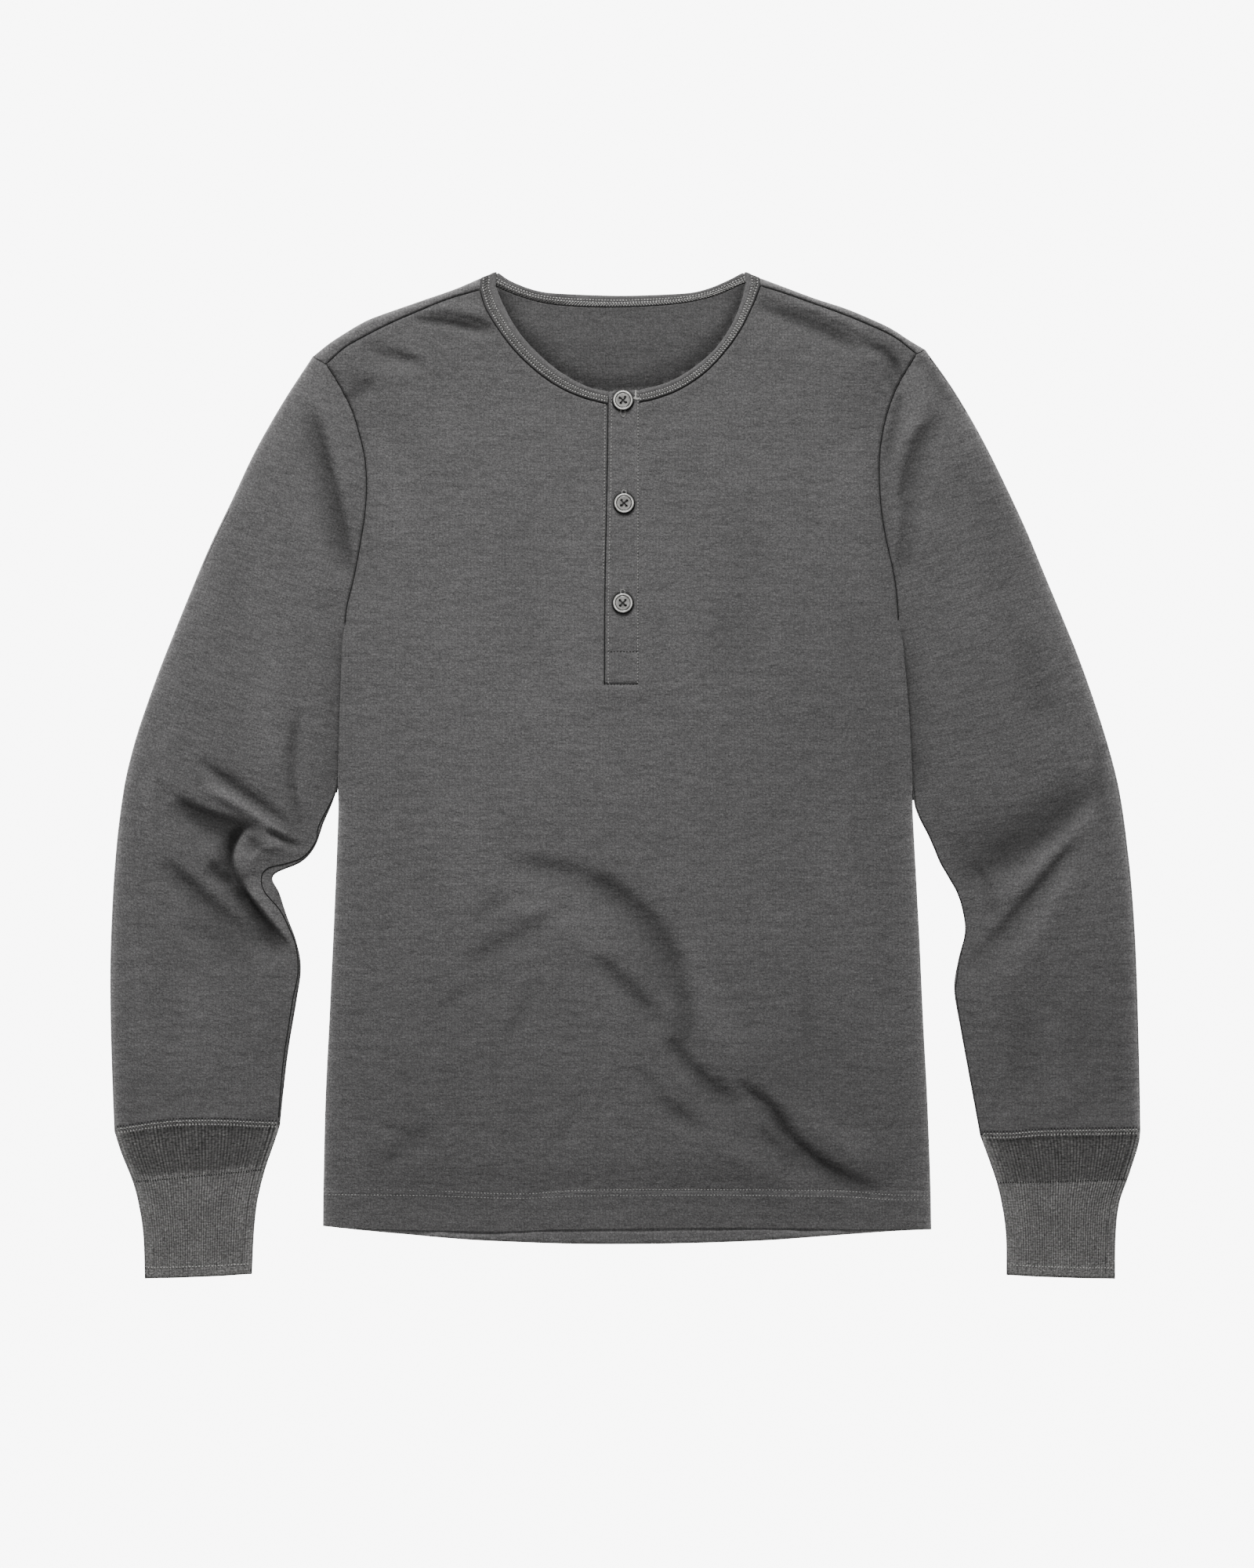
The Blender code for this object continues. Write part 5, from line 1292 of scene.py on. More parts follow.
def stitches_along(path, pitch, length, width, height, across=False, wander=0.0):
    """Placings of stitches along a path in space: middle, direction and size of each."""
    run = lengths(path)
    count = max(int(run[-1] / pitch), 1)
    want = (np.arange(count) + 0.5) * run[-1] / count
    middle = at_lengths(path, want)
    way = unit(at_lengths(path, want + 0.5) - at_lengths(path, want - 0.5))
    side = unit(left_of(way))
    if across:
        way, side = side, -way
    up = np.cross(way, side)
    uneven = wander * np.sin(np.arange(count) * 2.4)
    middle = middle + uneven[:, None] * side
    size = np.array((length, width, height)) * (1.0 + 0.12 * np.sin(np.arange(count) * 1.7))[:, None]
    return [(middle, way, side, up, size)]


def sew(name, shape, placings):
    """One object of many like stitches."""
    places, faces = shape
    every = []
    cells = []
    start = 0
    for middle, way, side, up, size in placings:
        for i in range(len(middle)):
            scaled = places * size[i]
            every.append(middle[i] + scaled[:, :1] * way[i] + scaled[:, 1:2] * side[i]
                         + scaled[:, 2:] * up[i])
            cells += [tuple(k + start for k in face) for face in faces]
            start += len(places)
    return add_mesh(name, np.vstack(every), cells)


def thread_tube(points, radius, sides=4):
    """A thin closed thread along points in space: its points and faces."""
    way = unit(np.gradient(points, axis=0))
    side = unit(left_of(way))
    up = np.cross(way, side)
    angles = (2 * math.pi * (np.arange(sides) + 0.5) / sides)[None, :, None]
    ring = radius * (np.cos(angles) * side[:, None] + np.sin(angles) * up[:, None])
    places = (points[:, None] + ring).reshape(-1, 3)
    faces = []
    for i in range(len(points) - 1):
        for k in range(sides):
            a, b = i * sides + k, i * sides + (k + 1) % sides
            faces.append((a, b, b + sides, a + sides))
    faces.append(tuple(range(sides))[::-1])
    faces.append(tuple(range(len(places) - sides, len(places))))
    return places, faces


def over_zigzag(first, second, pitch, radius):
    """Two looper threads that cross each other between two stitch rows."""
    return [thread_tube(zigzag(*lines, pitch), radius) for lines in ((first, second), (second, first))]


def ribbon(points, width, height):
    """A flat dark strip of painted shadow that fills the groove of a seam."""
    half = 0.5 * width * unit(left_of(np.gradient(points, axis=0)))
    rows = (points - half, points + (0, 0, height), points + half, points - (0, 0, height))
    places = np.stack(rows, axis=1).reshape(-1, 3)
    faces = []
    for i in range(len(points) - 1):
        for k in range(4):
            a, b = i * 4 + k, i * 4 + (k + 1) % 4
            faces.append((a, a + 4, b + 4, b))
    faces.append((0, 1, 2, 3))
    faces.append(tuple(range(len(places) - 1, len(places) - 5, -1)))
    return places, faces


def merged(name, shapes):
    """One object of several separate shapes, each turned right side out."""
    places = []
    faces = []
    start = 0
    for some, cells in shapes:
        if signed_volume(some, cells) < 0:
            cells = [face[::-1] for face in cells]
        places.append(some)
        faces += [tuple(k + start for k in face) for face in cells]
        start += len(some)
    return add_mesh(name, np.vstack(places), faces)


def even_path(path, step):
    run = lengths(path)
    return at_lengths(path, np.linspace(0.0, run[-1], max(int(run[-1] / step), 2) + 1))


def row_at(grid, share, columns):
    """The line that runs along a strip's surface at a share of its width."""
    place = np.interp(share, columns, np.arange(len(columns)))
    low = int(place)
    part = place - low
    high = min(low + 1, grid.shape[1] - 1)
    return grid[:, low] * (1 - part) + grid[:, high] * part


def zigzag(first, second, pitch):
    """A thread that crosses back and forth between two lines in space."""
    count = int(lengths(first)[-1] / pitch)
    share = np.linspace(0.0, 1.0, count)
    a = at_shares(first, share)
    b = at_shares(second, share)
    return np.where((np.arange(count) % 2 == 0)[:, None], a, b)


def front_row(points):
    """A stitch line laid on the front's outside."""
    path = even_path(dense(points), 2.0)
    return with_z(path, front_top(path) + 0.1)


# Pitch, length, width and height of stitches; at the back of the neck, also each row's place across
NECK_STITCH = (2.02, 1.05, 1.0, 0.9)
BACK_NECK_ROWS = ((0.60, (2.2, 1.5, 0.85, 0.8)), (0.40, (2.1, 1.3, 0.9, 0.8)))
BOX_STITCH = (2.3, 1.5, 1.1, 0.6)
TACK_STITCH = (0.7, 1.7, 0.85, 0.8)
BUTTONHOLE_STITCH = (0.55, 1.3, 0.55, 0.7)
CUFF_STITCH = (2.3, 1.2, 0.95, 0.9)
CUFF_SIDE_MARK = (2.3, 1.3, 1.1, 0.6)
CUFF_BAND_MARK = (1.8, 1.0, 1.3, 0.7)

# A loose end of thread beside the first button
THREAD_END = ((5.8, 275.6), (8.2, 274.6), (10.4, 275.2))


def make_neck_sewing():
    """Stitch beads and looper threads of the neck binding."""
    outer, inner = binding_surfaces()
    across = np.array([row[0] for row in BINDING_CROSS])
    bead = one_stitch()
    lift_off = np.array((0.0, 0.0, 0.16))
    fronts = (slice(0, 82), slice(len(outer) - 82, len(outer)))
    back = slice(92, len(outer) - 92)
    beads = []
    loopers = []
    between_rows = (BINDING_ROWS[0] + 0.07, BINDING_ROWS[1] - 0.07)
    for part in fronts:
        for share in BINDING_ROWS:
            beads += stitches_along(row_at(outer, share, across)[part] + lift_off, *NECK_STITCH)
        lines = [row_at(outer, share, across)[part] + 0.4 * lift_off for share in between_rows]
        loopers += over_zigzag(*lines, NECK_STITCH[0] / 2, 0.2)
    for share, stitch in BACK_NECK_ROWS:
        beads += stitches_along(row_at(inner, share, across)[back] + lift_off, *stitch)
    lines = [row_at(inner, share, across)[back] + lift_off for share in (0.08, 0.34)]
    chain = [thread_tube(zigzag(*lines, 1.05), 0.3)]
    return (sew("neck_stitches", bead, beads), merged("neck_looper_threads", loopers),
            merged("back_neck_chain", chain))


def seam_shadow_line(path, height, width):
    """A dark ribbon of painted shadow laid along a seam of the front."""
    place = even_path(path, 2.5)
    return ribbon(with_z(place, front_top(place) + height), width, 0.25)


def make_seam_shadow_lines(sizes):
    """Dark ribbons of painted shadow: down in the seams, along the placket's free edge and under edges that
    lie over.
    """
    width = sizes.seam_shadow_line / MM
    shapes = []
    for path in (ARMHOLE_RIGHT[1:], ARMHOLE_LEFT[1:], SHOULDER_SEAM_RIGHT, SHOULDER_SEAM_LEFT):
        shapes.append(seam_shadow_line(dense(path), 0.35, width))
    for path in (NECK_SEAM_RIGHT, NECK_SEAM_LEFT):
        shapes.append(seam_shadow_line(dense(path), 0.45, width))
    free = even_path(shifted(dense(BAND_SHOWN_RIGHT[2:]), -0.5), 2.5)
    height = np.maximum(front_top(free) + 1.0, BAND_LOW + BAND + body_lift(free) - 0.3)
    shapes.append(ribbon(with_z(free, height), width, 0.25))
    # The shade under the buttons' edges; the first button has it round its lower half only
    for centre, start in zip(BUTTON_CENTRES, (1.0, 0.0, 0.0)):
        turn = np.linspace(start * math.pi, 2.0 * math.pi, 49)
        ring = np.array(centre) + BUTTON_EDGE * np.column_stack((np.cos(turn), np.sin(turn)))
        shapes.append(ribbon(on_band(ring, 0.15), 2.0, 0.2))
    elbow = even_path(dense(ELBOW_SEAM), 2.0)
    shapes.append(ribbon(on_arm(elbow, RIGHT_ARM, 0.25), 0.9 * width, 0.25))
    under = shifted(even_path(np.array(SLEEVE_LEFT)[6:, 2:4], 2.0), 0.8)
    shapes.append(ribbon(on_arm(under, LEFT_ARM, 0.1), 0.6 * width, 0.2))
    for path in SIDE_SHADOWS:
        shapes.append(ribbon(with_z(even_path(np.array(path), 2.0), CLOTH), 2.4, 0.2))
    return merged("seam_shadow_lines", shapes)


def make_front_sewing(sizes):
    """The light stitch rows of the placket and hem, and the dark ones across the placket."""
    stitch = (sizes.stitch_pitch / MM, sizes.stitch_length / MM, sizes.stitch_width / MM, 0.6)
    bead = one_stitch()
    free = shifted(even_path(dense(BAND_SHOWN_RIGHT[2:]), 2.0), BAND_ROW_INSET)
    sewn = even_path(dense(BAND_SHOWN_LEFT), 2.0)
    beads = []
    for row in (on_band(free, 0.1), on_band(sewn, 0.1) - (0.3, 0.0, 0.0), front_row(PLACKET_SIDE_ROW),
                front_row(HEM_ROWS[0]), front_row(HEM_ROWS[1])):
        beads += stitches_along(row, *stitch)
    dark = []
    for y in (PLACKET_BOX_Y, PLACKET_END_Y):
        ends = np.array(((BAND_SHOWN_RIGHT[-1][0] + 1.0, y), (BAND_SHOWN_LEFT[-1][0], y)))
        dark += stitches_along(on_band(even_path(ends, 2.0), 0.05), *BOX_STITCH)
    x, top, bottom = BAR_TACK
    bright = []
    for path in (((x, bottom), (x, top)), THREAD_END):
        row = on_band(even_path(np.array(path), 0.5), 0.3)
        bright += stitches_along(row, *TACK_STITCH, across=True)
    return (sew("placket_and_hem_stitches", bead, beads), sew("placket_box_stitches", bead, dark),
            sew("bar_tack_stitches", bead, bright))


def make_buttonholes():
    """A ring of close stitches round each buttonhole; only its ends show past the button."""
    placings = []
    turn = np.linspace(0.0, math.pi, 12)
    r = BUTTONHOLE_HALF_WIDTH
    for (x, y), (above, below) in zip(BUTTON_CENTRES, BUTTONHOLE_REACH):
        head = np.column_stack((x + r * np.cos(turn), y + above - r + r * np.sin(turn)))
        foot = np.column_stack((x - r * np.cos(turn), y - below + r - r * np.sin(turn)))
        ring = even_path(np.vstack((head, foot, head[:1])), 0.5)
        placings += stitches_along(on_band(ring, 0.2), *BUTTONHOLE_STITCH, across=True)
    return sew("buttonhole_stitches", one_stitch(), placings)


def on_arm(path, arm, above):
    """The path laid on an arm's outside, or a little above it."""
    return with_z(path, UPPER + CLOTH + arm_lift(path, arm) + above)


def make_cuff_sewing():
    """Stitch rows at the cuffs' seams, in their middle and at their ends."""
    bead = one_stitch()
    light = []
    dark = []
    loopers = []
    for _, arm, seam in ARMS:
        side = side_of(arm)
        path = even_path(dense(seam), 2.0)[1:-1]
        lines = [on_arm(shifted(path, side * offset), arm, 0.25) for offset in (-1.4, 1.4)]
        for line in lines:
            light += stitches_along(line, *CUFF_STITCH, wander=0.12)
        loopers.append(thread_tube(zigzag(*lines, CUFF_STITCH[0] / 2), 0.34))
        for offset in (-3.2, 3.2):
            dark += stitches_along(on_arm(shifted(path, side * offset), arm, 0.2), *CUFF_SIDE_MARK)
        table = np.array(arm[1])
        rings = np.linspace(0, len(table) - 1, 60)
        outer, inner = rows_path(table[:, 0:2], rings), rows_path(table[:, 2:4], rings)
        down = np.abs(0.5 * (outer + inner)[:, 1] - 0.5 * (outer + inner)[0, 1])
        rows = []
        for depth in (CUFF_BAND, down[-1] - CUFF_END_ROW):
            ends = [[np.interp(depth, down, edge[:, k]) for k in range(2)] for edge in (outer, inner)]
            rows.append(even_path(np.array(ends), 2.0)[1:-1])
        dark += stitches_along(on_arm(rows[0], arm, 0.35), *CUFF_BAND_MARK)
        light += stitches_along(on_arm(rows[1], arm, 0.3), *CUFF_STITCH, wander=0.1)
    return (sew("cuff_stitches", bead, light), sew("cuff_needle_marks", bead, dark),
            merged("cuff_looper_threads", loopers))


# ---- Buttons ----

# The button's face from its edge inwards: how far each ring goes in and how far it rises
BUTTON_FACE = ((0.35, 0.36), (0.40, 0.18), (0.45, 0.02), (0.40, -0.12), (0.22, -0.50), (0.22, -0.08),
               (0.22, 0.28), (0.30, 0.08), (1.10, -0.10))
BUTTON_BACK = ((0.5, 0.35), (1.2, 0.25))
# Distances from the middle, and how light the plastic is painted there: painted highlight on the rim,
# painted shade in the groove and at the edge
BUTTON_PAINTED_LIGHT = ((0.0, 3.8, 4.9, 5.2, 5.46, 5.68, 5.9, 6.25, 6.6, 6.85, 7.0, 7.2),
                 (0.95, 1.1, 1.3, 0.75, 0.14, 0.14, 1.4, 4.0, 3.6, 1.7, 0.4, 0.08))


def pick_end_face(thing, top):
    """Selects the flat face at the top or the bottom of the shape, in edit mode's face selection."""
    bpy.ops.object.mode_set(mode="OBJECT")
    heights = [face.center.z for face in thing.data.polygons]
    want = max(heights) if top else min(heights)
    centre = [face for face in thing.data.polygons if len(face.vertices) > 8]
    best = min(centre, key=lambda face: abs(face.center.z - want))
    for face in thing.data.polygons:
        face.select = face.index == best.index
    bpy.ops.object.mode_set(mode="EDIT")


def model_button(sizes):
    """A pressed plastic button: raised rim, groove, dished face and four holes."""
    radius = sizes.button_radius
    start_primitive()
    bpy.ops.mesh.primitive_cylinder_add(vertices=64, radius=radius, depth=1.2 * MM,
                                        location=(0.0, 0.0, 1.2 * MM))
    thing = bpy.context.view_layer.objects.active
    bpy.ops.object.mode_set(mode="EDIT")
    bpy.ops.mesh.select_mode(type="FACE")
    bpy.ops.mesh.select_all(action="DESELECT")
    for rings, top in ((BUTTON_FACE, True), (BUTTON_BACK, False)):
        pick_end_face(thing, top)
        for inward, rise in rings:
            bpy.ops.mesh.inset(thickness=inward * MM, depth=rise * MM)
    bpy.ops.object.mode_set(mode="OBJECT")
    offset = sizes.button_hole_spacing / 2
    for sx, sy in ((-1, -1), (1, -1), (1, 1), (-1, 1)):
        start_primitive()
        bpy.ops.mesh.primitive_cylinder_add(vertices=20, radius=sizes.button_hole_radius, depth=8 * MM,
                                            location=(sx * offset, sy * offset, 1.5 * MM))
        drill = bpy.context.view_layer.objects.active
        start_primitive()
        thing.select_set(True)
        bpy.context.view_layer.objects.active = thing
        cut = thing.modifiers.new("hole", "BOOLEAN")
        cut.operation = "DIFFERENCE"
        cut.solver = "EXACT"
        cut.object = drill
        bpy.ops.object.modifier_apply(modifier=cut.name)
        bpy.data.objects.remove(drill, do_unlink=True)
    edge = thing.modifiers.new("worn edges", "BEVEL")
    edge.width = 0.09 * MM
    edge.segments = 2
    edge.limit_method = "ANGLE"
    edge.angle_limit = math.radians(38)
    bpy.ops.object.modifier_apply(modifier=edge.name)
    bpy.ops.object.shade_smooth_by_angle(angle=math.radians(50))
    bpy.ops.object.transform_apply(location=True, rotation=True, scale=True)
    return thing


def button_thread(centre, base, spacing):
    """Two strands of thread that cross from hole to hole, over the face of a button."""
    shapes = []
    half = 0.5 * spacing / MM
    for way in ((1, 1), (1, -1)):
        direction = unit(np.array(way, dtype=float))
        side = np.array((-direction[1], direction[0]))
        reach = half * math.sqrt(2.0)
        for shift in (-0.2, 0.2):
            along = np.linspace(-reach, reach, 15)
            height = base + 2.15 + 0.35 * np.cos(along / reach * 1.3)
            along[[0, -1]] *= 1.02
            height[[0, -1]] = base + 0.6
            line = np.array(centre) + along[:, None] * direction + shift * side
            shapes.append(thread_tube(with_z(line, height), 0.24, 6))
    return shapes


def make_buttons(sizes):
    """The three buttons as one shape set down three times, and their threads."""
    shape = model_button(sizes)
    made = []
    threads = []
    for number, (x, y) in enumerate(BUTTON_CENTRES, start=1):
        base = BUTTON_LOW + body_lift(np.array([(x, y)]))[0] + BUTTON_STAND
        mesh = shape.data.copy()
        turn = BUTTON_TURNS[number - 1]
        shade = []
        for vertex in mesh.vertices:
            px, py, pz = vertex.co
            # Painted highlight and painted shade, read by distance from the middle
            shade.append(np.interp(math.hypot(px, py) / MM, *BUTTON_PAINTED_LIGHT))
            vertex.co = (px * math.cos(turn) - py * math.sin(turn) + (x + CENTRE_SHIFT[0]) * MM,
                         px * math.sin(turn) + py * math.cos(turn) + (y + CENTRE_SHIFT[1]) * MM,
                         pz + base * MM)
        mesh.attributes.new("tone", "FLOAT", "POINT").data.foreach_set("value", shade)
        mesh.name = "four_hole_button_%d" % number
        thing = bpy.data.objects.new(mesh.name, mesh)
        bpy.context.scene.collection.objects.link(thing)
        made.append(thing)
        threads += button_thread((x, y), base, sizes.button_hole_spacing)
    bpy.data.objects.remove(shape, do_unlink=True)
    return made, merged("button_threads", threads)


# ---- Materials ----

def linear(hex_colour):
    """An sRGB hex colour as the linear numbers the shaders take."""
    values = []
    for k in (1, 3, 5):
        part = int(hex_colour[k:k + 2], 16) / 255.0
        values.append(part / 12.92 if part <= 0.04045 else ((part + 0.055) / 1.055) ** 2.4)
    return tuple(values)


def add_node(tree, kind, settings=None, links=None):
    """Adds one shader node, with its options and values and the links into it."""
    made = tree.nodes.new("ShaderNode" + kind)
    for name, value in (settings or {}).items():
        if hasattr(made, str(name)):
            setattr(made, name, value)
        else:
            made.inputs[name].default_value = value
    for socket, source in (links or {}).items():
        tree.links.new(source, made.inputs[socket])
    return made


def start_material(name, roughness, **settings):
    """A new material with its shader's values; the names have _ for the spaces in them."""
    made = bpy.data.materials.new(name)
    made.use_nodes = True
    tree = made.node_tree
    shader = tree.nodes["Principled BSDF"]
    shader.inputs["Roughness"].default_value = roughness
    for socket, value in settings.items():
        shader.inputs[socket.replace("_", " ")].default_value = value
    return made, tree, shader


def pattern(tree, place, size, detail, rough, stretch=None, shift=(0.0, 0.0, 0.0), turn=0.0):
    """An uneven pattern from 0 to 1, its features about the size in millimetres before any stretch."""
    if stretch:
        laid = {"Scale": stretch, "Location": shift, "Rotation": (0.0, 0.0, turn)}
        place = add_node(tree, "Mapping", laid, {"Vector": place}).outputs["Vector"]
    grain = {"noise_dimensions": "3D", "Scale": 1.0 / (size * MM), "Detail": detail, "Roughness": rough}
    return add_node(tree, "TexNoise", grain, {"Vector": place}).outputs["Fac"]


def toned(tree, tone, *layers):
    """The tone times each layer: a pattern, the range it is read over and what its ends become."""
    for layer, low, high, to_low, to_high in layers:
        ends = {"clamp": True, "From Min": low, "From Max": high, "To Min": to_low, "To Max": to_high}
        part = add_node(tree, "MapRange", ends, {"Value": layer}).outputs["Result"]
        if tone is not None:
            part = add_node(tree, "Math", {"operation": "MULTIPLY"}, {0: tone, 1: part}).outputs[0]
        tone = part
    return tone


def finish_surface(tree, shader, colour, tone, *relief):
    """Paints the surface its colour times the tone, and raises it by patterns, so many millimetres."""
    painted = add_node(tree, "VectorMath", {"operation": "SCALE", 0: tuple(colour)}, {"Scale": tone})
    tree.links.new(painted.outputs["Vector"], shader.inputs["Base Color"])
    links = {}
    for height, distance in relief:
        links["Height"] = height
        raised = add_node(tree, "Bump", {"Strength": 1.0, "Distance": distance * MM}, links)
        links["Normal"] = raised.outputs["Normal"]
        tree.links.new(links["Normal"], shader.inputs["Normal"])


def knit_jersey(name, colour, speckle=1.0):
    """Fine cotton jersey: heathered yarn, faint slubs along the courses and a soft brushed face."""
    made, tree, shader = start_material(name, 0.94, Sheen_Weight=0.3, Sheen_Roughness=0.4,
                                        Specular_IOR_Level=0.2)
    cloth = add_node(tree, "UVMap", {"uv_map": "cloth"}).outputs["UV"]
    # The tone attribute holds the painted light and shade of the cloth
    worn_and_painted_light = add_node(tree, "Attribute", {"attribute_name": "tone"}).outputs["Fac"]
    # Mixed light and dark fibre gives the eye a salt-and-pepper grain
    loops = pattern(tree, cloth, 1.3, 2.0, 0.65, (1.2, 1.1, 1.0))
    # Each stitch is a soft dot, in rows that are never quite even. Real ones are near 1 mm and too
    # fine to show, so these are as coarse as they need to be
    dots = {"feature": "F1", "Scale": 1.0 / (2.3 * MM), "Randomness": 0.55}
    stitches = add_node(tree, "TexVoronoi", dots, {"Vector": cloth}).outputs["Distance"]
    # Loops that lie a little up or down of their neighbours, in patches of a few stitches
    clumps = pattern(tree, cloth, 5.5, 3.0, 0.6, (0.8, 1.1, 1.0), (3.0, 1.0, 0.0))
    # Thin places in the yarn leave short level flecks that are darker than the rest
    flecks = pattern(tree, cloth, 3.0, 2.0, 0.6, (0.35, 1.0, 1.0), (0.9, 0.2, 0.0))
    # Uneven dyeing over a few centimetres
    patches = pattern(tree, cloth, 30.0, 3.0, 0.6)
    # Cloth that was washed and laid out by hand keeps many small soft crinkles across it
    crinkles = pattern(tree, cloth, 8.5, 3.0, 0.55, (0.45, 1.0, 1.0), (0.2, 0.6, 0.0), 0.12)
    tone = toned(tree, worn_and_painted_light, (loops, 0.25, 0.75, 1.0 - 0.48 * speckle, 1.0 + 0.48 * speckle),
                 (stitches, 0.1, 0.7, 1.0 + 0.18 * speckle, 1.0 - 0.18 * speckle),
                 (clumps, 0.25, 0.75, 1.0 - 0.08 * speckle, 1.0 + 0.08 * speckle),
                 (flecks, 0.55, 0.72, 1.02, 1.0 - 0.14 * speckle), (patches, 0.3, 0.7, 0.94, 1.06))
    finish_surface(tree, shader, colour, tone, (loops, 0.45), (clumps, 0.35), (crinkles, 1.3))
    return made


def knit_rib(name, colour):
    """One-and-one rib: raised columns catch the light and the hollows between them stay dark."""
    made, tree, shader = start_material(name, 0.95, Sheen_Weight=0.15, Sheen_Roughness=0.45,
                                        Specular_IOR_Level=0.2)
    cloth = add_node(tree, "UVMap", {"uv_map": "cloth"}).outputs["UV"]
    # The tone attribute holds the ribs' painted light and shade
    hollow = add_node(tree, "Attribute", {"attribute_name": "tone"}).outputs["Fac"]
    loops = pattern(tree, cloth, 1.15, 3.0, 0.75)
    # Short bars of yarn across each column
    rows = pattern(tree, cloth, 1.6, 1.0, 0.5, (0.7, 1.6, 1.0))
    patches = pattern(tree, cloth, 14.0, 3.0, 0.6)
    # The loops of each column show as a chain of small round dots, here as coarse as they need to show
    dots = {"feature": "F1", "Scale": 1.0 / (2.2 * MM), "Randomness": 0.4}
    chain = add_node(tree, "TexVoronoi", dots, {"Vector": cloth}).outputs["Distance"]
    tone = toned(tree, None, (hollow, 0.2, 1.0, 0.34, 1.42), (loops, 0.25, 0.75, 0.35, 1.65),
                 (rows, 0.3, 0.7, 0.62, 1.38), (patches, 0.3, 0.7, 0.86, 1.14),
                 (chain, 0.1, 0.7, 1.3, 0.7))
    finish_surface(tree, shader, colour, tone, (loops, 0.4))
    return made


def sewing_thread(name, colour, roughness=0.8, uneven=0.25):
    """Spun polyester thread: matt, with a slight change of tone from stitch to stitch."""
    made, tree, shader = start_material(name, roughness, Sheen_Weight=0.1)
    place = add_node(tree, "TexCoord").outputs["Object"]
    twist = pattern(tree, place, 0.9, 2.0, 0.6)
    painted_light_and_wear = pattern(tree, place, 6.0, 2.0, 0.6)
    tone = toned(tree, None, (twist, 0.3, 0.7, 1.0 - uneven, 1.0 + uneven),
                 (painted_light_and_wear, 0.3, 0.7, 1.0 - uneven, 1.0 + 0.5 * uneven))
    finish_surface(tree, shader, colour, tone, (twist, 0.1))
    return made


def pearl_plastic(name, colour):
    """Cast polyester with pearl flake: cloudy light and dark grey under a polished face."""
    made, tree, shader = start_material(name, 0.3, Coat_Weight=0.8, Coat_Roughness=0.12)
    place = add_node(tree, "TexCoord").outputs["Object"]
    # The tone attribute holds the painted highlight and shade of the button
    worn_and_painted_light = add_node(tree, "Attribute", {"attribute_name": "tone"}).outputs["Fac"]
    clouds = pattern(tree, place, 3.4, 4.0, 0.6, (1.0, 0.6, 1.0), turn=0.6)
    flake = pattern(tree, place, 0.6, 2.0, 0.6)
    tone = toned(tree, worn_and_painted_light, (clouds, 0.35, 0.65, 0.7, 1.4), (flake, 0.3, 0.7, 0.8, 1.2))
    finish_surface(tree, shader, colour, tone)
    tree.links.new(toned(tree, None, (clouds, 0.3, 0.7, 0.28, 0.42)), shader.inputs["Roughness"])
    return made


def pale_board(name, colour, glow):
    """Matt painted board, lit from within so that it stays one even tone."""
    made, tree, shader = start_material(name, 0.9, Specular_IOR_Level=0.1, Emission_Strength=glow)
    shader.inputs["Emission Color"].default_value = (*colour, 1.0)
    place = add_node(tree, "TexCoord").outputs["Object"]
    tooth = pattern(tree, place, 4.0, 2.0, 0.6)
    finish_surface(tree, shader, colour, toned(tree, None, (tooth, 0.3, 0.7, 0.098, 0.102)))
    return made


def material_of(name, maker, *settings):
    """A named material, made once and shared."""
    return bpy.data.materials.get(name) or maker(name, *settings)


def shirt_jersey(colours):
    return material_of("brushed_cotton_jersey", knit_jersey, colours.jersey)


# ---- The add-on ----

def colour_property(name, description, hex_colour):
    return FloatVectorProperty(name=name, description=description, subtype="COLOR", size=3, min=0.0,
                               max=1.0, default=linear(hex_colour))


def length_property(name, description, metres):
    return FloatProperty(name=name, description=description, unit="LENGTH", default=metres, min=0.0,
                         precision=5)


class HenleySizes(bpy.types.PropertyGroup):
    """Sizes of the cloth, the sewing and the buttons."""
    cloth_steps: IntProperty(name="Cloth Steps", description="Fine rows in each row of the panels",
                             default=7, min=2, max=9)
    jersey: length_property("Jersey Thickness", "Thickness of the body and sleeve cloth", 0.0012)
    rib_count: IntProperty(name="Cuff Ribs", description="Ribs that show across the face of a cuff",
                           default=48, min=10, max=80)
    rib_depth: length_property("Rib Depth", "How far a rib stands above the hollow beside it", 0.0009)
    # Painted shadow: width of the dark ribbon down in a seam
    seam_shadow_line: length_property("Seam Line", "Width of the dark line down in a seam", 0.0009)
    stitch_pitch: length_property("Stitch Pitch", "From one stitch to the next", 0.00237)
    stitch_length: length_property("Stitch Length", "Thread that shows in one stitch", 0.0013)
    stitch_width: length_property("Stitch Width", "Width of the thread", 0.0009)
    button_radius: length_property("Button Radius", "From a button's centre to its edge", 0.0073)
    button_hole_spacing: length_property("Hole Spacing", "From one button hole to the next", 0.0039)
    button_hole_radius: length_property("Hole Radius", "Radius of a button's holes", 0.00095)


